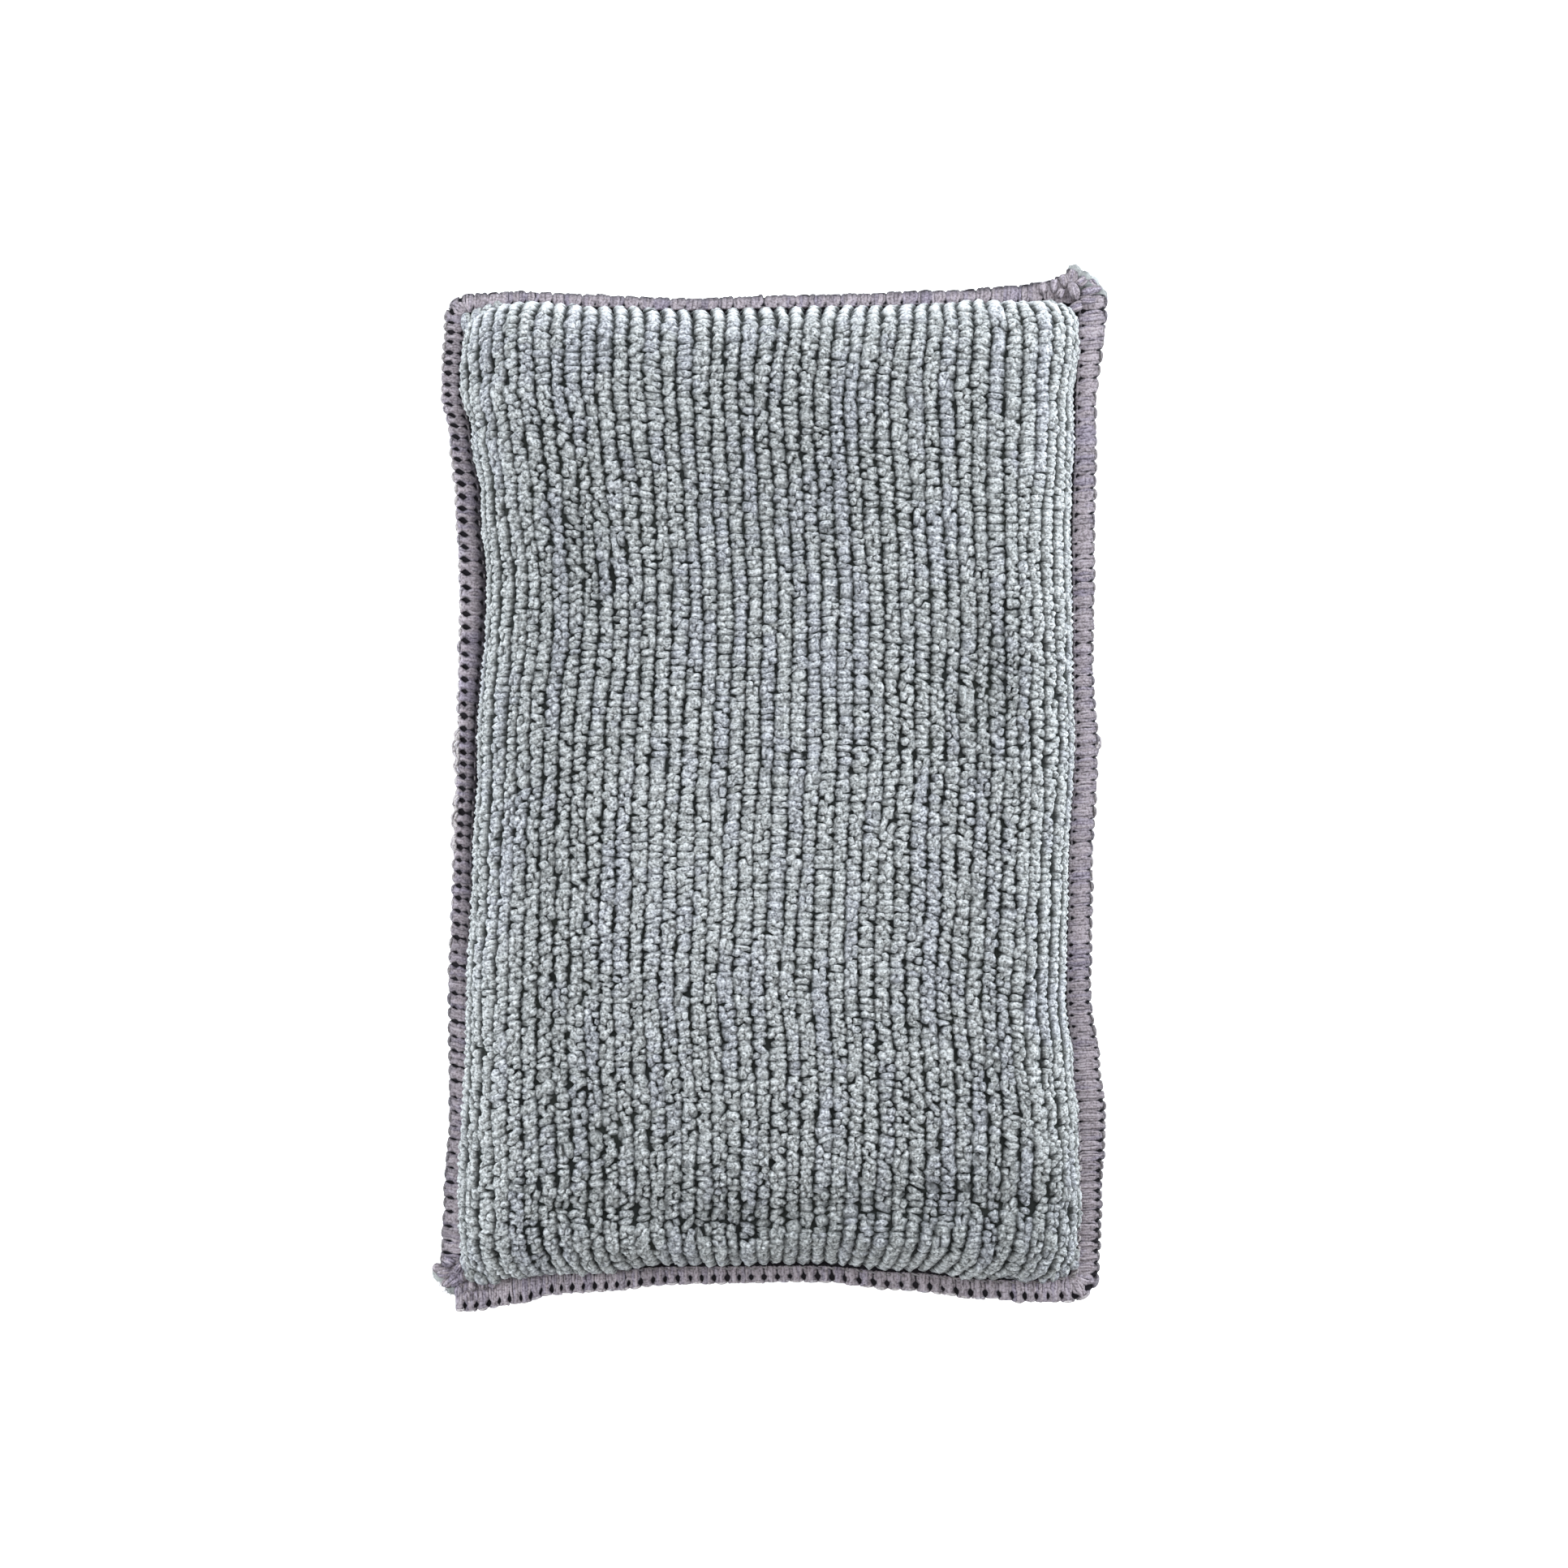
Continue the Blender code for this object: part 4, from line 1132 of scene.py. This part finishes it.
# loops of the pile that reach out over the corners, given as the lumps above
cornerLoops = (
    (-46.1, 70.5, 1.4, 95, 2.6, 0.75), (-44.6, 71.0, 1.9, 86, 2.8, 0.85),
    (-43.0, 71.8, 2.3, 80, 2.4, 0.85), (-41.4, 72.4, 2.6, 76, 1.8, 0.80),
    (45.6, 70.6, 1.6, 98, 2.2, 0.80), (44.2, 71.8, 1.9, 106, 2.2, 0.82), (42.6, 72.6, 2.3, 100, 2.0, 0.82),
    (-45.3, -73.4, 1.9, 130, 1.9, 0.80), (-43.7, -73.9, 2.1, 145, 2.0, 0.80),
    (-41.9, -73.6, 2.4, 120, 2.2, 0.85), (-46.0, -71.8, 1.9, 110, 2.0, 0.78),
    (46.0, -70.4, 1.7, 85, 1.3, 0.62), (45.7, -72.0, 1.7, 60, 1.3, 0.62), (44.3, -73.0, 2.0, 50, 1.4, 0.64),
    (42.7, -73.6, 2.1, 70, 1.4, 0.64), (41.0, -73.9, 2.2, 80, 1.4, 0.62),
)


def tuftMiddle(facts):
    middle = np.array(facts["outline"]).mean(0) * mm
    return np.array((middle[0], middle[1], padShape["seamHeight"]))


def tuftReach(facts, angle):
    # how far the cut cloth reaches from its middle, each way
    outline = np.array(facts["outline"]) * mm - tuftMiddle(facts)[:2]
    ways = np.arctan2(outline[:, 1], outline[:, 0])
    order = np.argsort(ways)
    return np.interp(angle, ways[order], np.linalg.norm(outline, axis=1)[order], period=2 * np.pi)


def makeTuftCore(name, node):
    facts = tufts[node]
    random = np.random.default_rng(facts["seed"])
    rings, sides = 14, 40
    polar = np.linspace(0.04, np.pi - 0.04, rings)[:, None]
    around = (2 * np.pi * np.arange(sides) / sides)[None, :]
    lump = 1 + 0.09 * smoothNoise(random, (rings, sides), (1.0, 0.8))
    reach = tuftReach(facts, around) * np.sin(polar) ** 0.6 * lump
    lift = tuftHeight * np.cos(polar) * (1 + 0.25 * smoothNoise(random, (rings, sides), (1.0, 1.2)))
    points = np.stack((reach * np.cos(around), reach * np.sin(around), lift), -1) + tuftMiddle(facts)
    # painted light and shade: pale at the cut edge and painted dark further in, in the shade under the
    # threads
    toEdge = np.cos(around - math.radians(facts["away"])) * np.sin(polar)
    values = {"paintedLight": np.clip(0.45 + 0.55 * toEdge, 0, 1), "loopTint": 0.5 + 0 * toEdge}
    return makeMesh(name, points, tubeFaces(rings, sides), None, values)


def makeTuftThreads(name, node):
    # frayed ends that start near the cut edge and curl as they come out
    facts = tufts[node]
    random = np.random.default_rng(facts["seed"] + 1)
    n, count = facts["threads"], 9
    way = np.radians(facts["away"] + 42 * random.standard_normal(n))
    reach = tuftReach(facts, way) * random.uniform(0.72, 0.97, n)
    start = tuftMiddle(facts) + np.stack((reach * np.cos(way), reach * np.sin(way), 0 * way), -1)
    start[:, 2] += tuftHeight * random.uniform(-0.6, 0.7, n)
    turned = way + 0.7 * random.standard_normal(n)
    away = unit(np.stack((np.cos(turned), np.sin(turned), 0.35 * random.standard_normal(n)), -1))
    curl = unit(random.standard_normal((n, 3)))
    length = random.uniform(*facts["length"], n)
    t = np.linspace(0, 1, count)[None, :, None]
    path = start[:, None, :] + away[:, None, :] * t * length[:, None, None]
    path = path + curl[:, None, :] * t**2 * 0.55 * length[:, None, None]
    upward = unit(np.cross(away, curl))[:, None, :] + np.zeros_like(path)
    radius = facts["radius"] * random.uniform(0.7, 1.3, (n, 1)) * (1 - 0.5 * t[:, :, 0])
    return tubeMesh(name, path, radius, sides=4, turns=1.5, tint=random.random(n), upward=upward)


def makeLumps(name, lumps, strands, spread, seed):
    # threads that bunch up, or loops of the pile over a corner; each lump is a few strands side by side
    random = np.random.default_rng(seed)
    t = np.linspace(-1, 1, lumpPoints)
    bow = np.cos(0.5 * np.pi * t)
    paths, radii, lit = [], [], []
    for x, y, level, direction, length, wide in lumps:
        way = math.radians(direction)
        along = np.array((math.cos(way), math.sin(way), 0))
        aside = np.array((-along[1], along[0], 0))
        for place in np.linspace(-spread, spread, strands):
            stray = random.uniform(-0.12, 0.12, 3)
            path = np.array((x, y, padShape["seamHeight"] / mm + level)) + stray
            path = path + np.outer(0.5 * length * np.sin(0.5 * np.pi * t), along)
            path = path + np.outer(place * wide * (0.35 + 0.65 * bow), aside)
            path = path + np.sin(t[:, None] * 3.2 + random.uniform(0, 6, 3)) * 0.07
            path[:, 2] -= 0.35 * place**2 + (0.5 + 0.6 * place**2) * np.abs(t) ** 3
            paths.append(path * mm)
            radii.append((1.05 - 0.8 * spread) * wide * mm * (0.45 + 0.55 * bow))
            # painted shade: darker towards a lump's ends and on its outer strands
            lit.append(random.uniform(0.75, 1.0) * (1 - 0.4 * place**2) * (0.45 + 0.55 * bow))
    radii, lit, tint = np.array(radii), np.array(lit), random.random(len(paths))
    return tubeMesh(name, np.array(paths), radii, lumpSides, overlock["twist"], tint, lit)


# bunches of looper thread that stand off the rim: place along the left or right side, reach, span
looseLoops = (
    ("left", 0.121, 0.50 * mm, 2.2 * mm),
    ("left", 0.093, 0.85 * mm, 3.4 * mm),
    ("left", 0.060, 0.60 * mm, 2.6 * mm),
    ("left", -0.018, 0.45 * mm, 2.6 * mm),
    ("left", -0.055, 0.55 * mm, 3.2 * mm),
    ("left", -0.100, 0.45 * mm, 2.8 * mm),
    ("right", 0.093, 0.55 * mm, 2.6 * mm),
)
threadsInLoop = 4
looseRadius = 0.20 * mm


def makeLooseLoops(name, sides, seed):
    random = np.random.default_rng(seed)
    paths = []
    t = np.linspace(-1, 1, lumpPoints)
    for side, place, reach, span in looseLoops:
        if side not in sides:
            continue
        band = mm * sideValue(side, bandColumn, place)
        for number in range(threadsInLoop):
            share = (number + 1) / threadsInLoop
            middle = place + 0.18 * (random.random() - 0.5) * span / seamHalfLength
            edge = seamSide(side, middle + t * (0.3 + 0.2 * share) * span / seamHalfLength)
            off = band - 0.35 * mm + (reach + 0.25 * mm) * share * (1 - np.abs(t) ** 2.5)
            off = off + 0.07 * mm * np.sin(7 * t + random.uniform(0, 6))
            lift = (0.5 - 0.3 * share + 0.25 * np.sin(2.2 * t + random.uniform(0, 6))) * mm
            flat = edge + np.outer(off, outwardOf[side]) + padShape["centre"]
            paths.append(np.column_stack((flat, padShape["seamHeight"] + lift)))
    sides, twist = overlock["strandSides"], overlock["twist"]
    return tubeMesh(name, np.array(paths), looseRadius, sides, twist, random.random(len(paths)))


# ---- materials


class Nodes:
    # a short way to place and join shader nodes; colours are given without their alpha
    def __init__(self, tree):
        self.tree = tree

    def fill(self, node, inputs):
        for key, value in inputs.items():
            socket = node.inputs[key]
            if isinstance(value, bpy.types.NodeSocket):
                self.tree.links.new(value, socket)
            else:
                socket.default_value = (*value, 1) if socket.type == "RGBA" else value

    def add(self, kind, inputs, **settings):
        node = self.tree.nodes.new("ShaderNode" + kind)
        for key, value in settings.items():
            setattr(node, key, value)
        self.fill(node, inputs)
        return node.outputs

    def math(self, operation, first, second):
        return self.add("Math", {0: first, 1: second}, operation=operation)[0]

    def times(self, first, second):
        return self.math("MULTIPLY", first, second)

    def mixColour(self, factor, first, second):
        return self.add("Mix", {0: factor, 6: first, 7: second}, data_type="RGBA")[2]

    def ramp(self, value, low, high):
        return self.add("MapRange", {0: value, 1: low, 2: high, 3: 0.0, 4: 1.0})[0]

    def stretched(self, vector, by):
        return self.add("VectorMath", {0: vector, 1: by}, operation="MULTIPLY")[0]

    def noise(self, vector, scale, detail, **inputs):
        return self.add("TexNoise", {"Vector": vector, "Scale": scale, "Detail": detail} | inputs)[0]

    def attribute(self, name):
        return self.add("Attribute", {}, attribute_name=name)["Fac"]


def newGroup(name, inputs, outputs):
    tree = bpy.data.node_groups.new(name, "ShaderNodeTree")
    for label, kind, value in inputs:
        socket = tree.interface.new_socket(label, in_out="INPUT", socket_type="NodeSocket" + kind)
        if value is not None:
            socket.default_value = value
    for label, kind in outputs:
        tree.interface.new_socket(label, in_out="OUTPUT", socket_type="NodeSocket" + kind)
    return tree, Nodes(tree), tree.nodes.new("NodeGroupInput").outputs, tree.nodes.new("NodeGroupOutput")


def makeFuzzGroup():
    # short curled fibres: streaks along the thread over rounder clumps
    inputs = (
        ("Map", "Vector", None),
        ("Place", "Vector", None),
        ("Streak", "Float", 4.0),
        ("Clump", "Float", 2600.0),
        ("Curl", "Float", 1.2),
    )
    outputs = (("Height", "Float"), ("Glint", "Float"), ("PoreShade", "Float"))
    tree, nodes, given, out = newGroup("fibreFuzz", inputs, outputs)
    along = nodes.stretched(given["Map"], (1.6, 7.0, 1.0))
    streak = nodes.noise(along, given["Streak"], 3.0, Roughness=0.6, Distortion=given["Curl"])
    clump = nodes.noise(given["Place"], given["Clump"], 2.0)
    both = nodes.math("ADD", nodes.times(streak, 0.45), nodes.times(clump, 0.55))
    # masks for painted highlights on the fibres and painted shade in their pores
    glint, poreShade = nodes.ramp(both, 0.49, 0.58), nodes.ramp(clump, 0.46, 0.37)
    nodes.fill(out, {"Height": both, "Glint": glint, "PoreShade": poreShade})
    return tree


def makeTintGroup():
    # slow drifts of colour over the cloth, and one tint to each loop or strand
    inputs = (
        ("Place", "Vector", None),
        ("Loop", "Float", 0.5),
        ("Scale", "Float", 90.0),
        ("Cool", "Color", (0.5, 0.5, 0.5, 1)),
        ("Warm", "Color", (0.5, 0.5, 0.5, 1)),
    )
    tree, nodes, given, out = newGroup("clothTint", inputs, (("Color", "Color"),))
    drift = nodes.noise(nodes.stretched(given["Place"], (2.4, 1.0, 1.0)), given["Scale"], 2.0)
    slow = nodes.times(nodes.ramp(drift, 0.35, 0.65), 0.35)
    mixed = nodes.math("ADD", slow, nodes.times(given["Loop"], 0.65))
    colour = nodes.mixColour(nodes.ramp(mixed, 0.22, 0.50), given["Cool"], given["Warm"])
    nodes.fill(out, {"Color": colour})
    return tree


def newMaterial(name):
    material = bpy.data.materials.new(name)
    material.use_nodes = True
    tree = material.node_tree
    tree.nodes.clear()
    shader = tree.nodes.new("ShaderNodeBsdfPrincipled")
    tree.links.new(shader.outputs[0], tree.nodes.new("ShaderNodeOutputMaterial").inputs[0])
    return material, Nodes(tree), shader


# colours of a cool and a warm loop, of the painted shade at its root, of its painted highlight at the tips
# and of the painted shade in its hollows, how much painted shade its pores add, and the scale of its streaks
# and clumps of fibre
finishes = {
    "looped pile": dict(
        cool=(0.334, 0.346, 0.384), warm=(0.366, 0.381, 0.378), root=(0.03, 0.034, 0.031),
        tip=(0.70, 0.72, 0.73), hollowShade=(0.055, 0.06, 0.06), poreShade=0.70,
        roughness=0.88, sheen=0.30, bump=0.50 * mm, streak=1.0, clump=2500,
    ),
    # painted shade: the ground cloth is near black, standing for the deep shade between the ribs
    "ground cloth": dict(
        cool=(0.014, 0.017, 0.016), warm=(0.026, 0.030, 0.023),
        roughness=0.95, sheen=0.05, bump=0.2 * mm, clump=1500,
    ),
    "overlock thread": dict(
        cool=(0.265, 0.230, 0.294), warm=(0.378, 0.328, 0.356), root=(0.018, 0.014, 0.019),
        tip=(0.56, 0.53, 0.59), poreShade=0.45,
        roughness=0.80, sheen=0.09, bump=0.15 * mm, streak=1.6, clump=3000,
    ),
    "rim thread": dict(
        cool=(0.31, 0.285, 0.325), warm=(0.42, 0.385, 0.385), root=(0.03, 0.025, 0.03),
        tip=(0.66, 0.64, 0.67), poreShade=0.6,
        roughness=0.80, sheen=0.10, bump=0.15 * mm, streak=1.6, clump=3000,
    ),
    # painted shade: the cut edges are near black, so that the holes between stitches read as shade
    "cut edge": dict(
        cool=(0.009, 0.007, 0.010), warm=(0.018, 0.014, 0.018),
        roughness=0.95, sheen=0.05, bump=0.2 * mm, clump=1800,
    ),
    "cut cloth": dict(
        cool=(0.31, 0.335, 0.33), warm=(0.40, 0.42, 0.41), root=(0.05, 0.045, 0.05),
        tip=(0.50, 0.52, 0.51), poreShade=0.3,
        roughness=0.92, sheen=0.25, bump=0.25 * mm, clump=2000,
    ),
    "frayed thread": dict(
        cool=(0.50, 0.50, 0.53), warm=(0.60, 0.59, 0.58), root=(0.30, 0.29, 0.31),
        tip=(0.75, 0.75, 0.77), poreShade=0.4,
        roughness=0.8, sheen=0.3, bump=0.04 * mm, streak=2.0, clump=4200,
    ),
}


def pileColour(nodes, finish, tinted, fibres):
    # dark with painted shade at the root, flecked with painted highlights on the tips, paler with painted
    # light where the loops are smooth, and pitted with pores of painted shade
    lift, smooth = nodes.attribute("paintedLight"), nodes.attribute("loopSmoothAndLit")
    colour = nodes.mixColour(nodes.ramp(lift, 0.16, 0.80), finish["root"], tinted)
    flecked = nodes.times(nodes.ramp(lift, 0.35, 0.85), nodes.times(fibres["Glint"], 0.9))
    colour = nodes.mixColour(flecked, colour, finish["tip"])
    colour = nodes.mixColour(nodes.times(smooth, nodes.ramp(lift, 0.3, 1.2)), colour, finish["tip"])
    sharp = nodes.math("SUBTRACT", 1.0, nodes.times(smooth, 0.5))
    poreShade = nodes.times(nodes.times(fibres["PoreShade"], finish["poreShade"]), sharp)
    return nodes.mixColour(poreShade, colour, finish["hollowShade"]), nodes.times(fibres["Height"], sharp)


def threadColour(nodes, finish, tinted, fibres):
    # painted shade at the root and in pores, and painted highlights flecked on the lit parts
    lit = nodes.ramp(nodes.attribute("paintedLight"), 0.16, 0.92)
    colour = nodes.mixColour(lit, finish["root"], tinted)
    colour = nodes.mixColour(nodes.times(fibres["PoreShade"], finish["poreShade"]), colour, finish["root"])
    return nodes.mixColour(nodes.times(lit, nodes.times(fibres["Glint"], 0.45)), colour, finish["tip"])


def makeClothMaterial(name, fuzz, tint):
    # shared by every finish: tinted fibres, a root darkened with painted shade where loops have one, and fuzz
    # in the normal
    finish = finishes[name]
    material, nodes, shader = newMaterial(name)
    place = nodes.add("TexCoord", {})["Object"]
    ofLoop = {"Loop": nodes.attribute("loopTint"), "Cool": finish["cool"], "Warm": finish["warm"]}
    colour = nodes.add("Group", {"Place": place} | ofLoop, node_tree=tint)["Color"]
    if "streak" in finish:
        inputs = {"Map": nodes.add("UVMap", {}, uv_map="fibreMap")[0], "Streak": finish["streak"]}
    else:
        inputs = {"Map": nodes.add("VectorMath", {0: place, "Scale": 1 / mm}, operation="SCALE")[0]}
    fibres = nodes.add("Group", {"Place": place, "Clump": finish["clump"]} | inputs, node_tree=fuzz)
    height = fibres["Height"]
    if "hollowShade" in finish:
        colour, height = pileColour(nodes, finish, colour, fibres)
    elif "tip" in finish:
        colour = threadColour(nodes, finish, colour, fibres)
    look = {
        "Base Color": colour,
        "Roughness": finish["roughness"],
        "Sheen Weight": finish["sheen"],
        "Sheen Roughness": 0.45,
        "Sheen Tint": (0.86, 0.93, 1.0),
        "Specular IOR Level": 0.25,
        "Normal": nodes.add("Bump", {"Height": height, "Strength": 1.0, "Distance": finish["bump"]})[0],
    }
    nodes.fill(shader, look)
    return material


# ---- stage, light and camera


stage = {
    "floorHalf": 1.2,  # in m
    "floor": {
        "Base Color": (0.93, 0.93, 0.93),
        "Roughness": 0.9,
        "Emission Color": (1, 1, 1),
        "Emission Strength": 0.62,
    },
    "world": ((0.97, 0.985, 1.0, 1), 0.22),
    "view": (1.952 * mm, 0.565 * mm, 9.5 * mm),  # the point at the photo's centre
    "distance": 640.0 * mm,
    "elevation": 88.7,
    "frameWidth": 1932 * 0.123 * mm,  # what the photo's width covers at the seam
    "sensor": 36.0,
}

# name, place in mm, size in mm, power in W, colour
lamps = (
    ("overhead", (0, -40, 620), (420, 420), 1.65, (1.0, 0.995, 0.985)),
    ("topRim", (0, 420, 200), (520, 120), 2.6, (0.90, 0.95, 1.0)),
    ("leftRim", (-420, -60, 150), (120, 420), 2.7, (0.90, 0.95, 1.0)),
    ("rightRim", (420, 80, 150), (120, 420), 3.3, (0.90, 0.95, 1.0)),
)


def makeFloor():
    mesh = bpy.data.meshes.new("floor")
    half = stage["floorHalf"]
    mesh.from_pydata([(-half, -half, 0), (half, -half, 0), (half, half, 0), (-half, half, 0)], [], [range(4)])
    material, nodes, shader = newMaterial("floorWhite")
    nodes.fill(shader, stage["floor"])
    mesh.materials.append(material)
    floor = addObject("floor", mesh)
    floor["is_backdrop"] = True


def makeLight(target):
    world = bpy.data.worlds.new("studio")
    bpy.context.scene.world = world
    world.use_nodes = True
    back = world.node_tree.nodes["Background"].inputs
    back[0].default_value, back[1].default_value = stage["world"]
    for name, place, size, power, colour in lamps:
        data = bpy.data.lights.new(name, "AREA")
        data.shape = "RECTANGLE"
        data.size, data.size_y = size[0] * mm, size[1] * mm
        data.energy = power
        data.color = colour
        lamp = addObject(name, data)
        lamp.location = Vector(place) * mm
        lamp.rotation_euler = (target - lamp.location).to_track_quat("-Z", "Y").to_euler()


def makeCamera(target):
    data = bpy.data.cameras.new("camera")
    data.sensor_width = stage["sensor"]
    data.lens = stage["sensor"] * stage["distance"] / stage["frameWidth"]
    data.clip_start = 10 * mm
    camera = addObject("camera", data)
    elevation = math.radians(stage["elevation"])
    camera.location = target + Vector((0, -math.cos(elevation), math.sin(elevation))) * stage["distance"]
    camera.rotation_euler = (math.pi / 2 - elevation, 0, 0)
    bpy.context.scene.camera = camera
    bpy.context.scene.view_settings.view_transform = "Standard"


# ---- putting the pad together


def dress(piece, material, slot, *nodes):
    piece.data.materials.clear()
    piece.data.materials.append(material)
    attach(piece, "root")
    for node in nodes:
        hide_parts(node)


fuzzGroup, tintGroup = makeFuzzGroup(), makeTintGroup()
materials = {name: makeClothMaterial(name, fuzzGroup, tintGroup) for name in finishes}
print("materials:", ", ".join(materials))

makeFloor()
makeLight(Vector(stage["view"]))
makeCamera(Vector(stage["view"]))

shell = makeShell()
dress(shell, materials["ground cloth"], "microfibre_cloth", "pad_body")

for isFront in (True, False):
    for strip in makePile(isFront):
        dress(strip, materials["looped pile"], "microfibre_cloth", "pad_body")

runs = {"overlock_left_top": ("left", "top"), "overlock_bottom_right": ("bottom", "right")}
for node, (first, second) in runs.items():
    track = runTrack(first, second)
    stem = first + second.capitalize()
    seed = overlock["seed"] + len(first)
    core = makeCore(stem + "CutEdge", track)
    dress(core, materials["cut edge"], "overlock_thread", node)
    stitches, starts, pitches = makeStitches(stem + "Stitches", track, seed)
    dress(stitches, materials["overlock thread"], "overlock_thread", node)
    purl = makePurl(stem + "Purl", track, starts, pitches, seed + 1)
    needle = makeNeedleLine(stem + "Needle", track, starts, pitches, seed + 2)
    loose = makeLooseLoops(stem + "LooseLoops", (first, second), seed + 3)
    for piece in (purl, needle, loose):
        dress(piece, materials["rim thread"], "overlock_thread", node)

for node, stem in (("corner_tuft_top_right", "topRightTuft"), ("corner_tuft_bottom_left", "bottomLeftTuft")):
    dress(makeTuftCore(stem, node), materials["cut cloth"], "cut_cloth", node)
    dress(makeTuftThreads(stem + "Threads", node), materials["frayed thread"], "cut_cloth", node)
    seed = tufts[node]["seed"] + 2
    lumps = makeLumps(stem + "Lumps", tufts[node]["lumps"], strands=5, spread=0.8, seed=seed)
    dress(lumps, materials["overlock thread"], "overlock_thread", node)

overCorners = makeLumps("cornerLoops", cornerLoops, strands=3, spread=0.40, seed=61)
dress(overCorners, materials["looped pile"], "microfibre_cloth", "pad_body")

total = 0
for piece in bpy.data.objects:
    if piece.type == "MESH" and not piece.hide_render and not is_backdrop(piece):
        triangles = sum(len(face.vertices) - 2 for face in piece.data.polygons)
        total += triangles
        print("  ", piece.name, triangles)
print("triangles in all:", total)
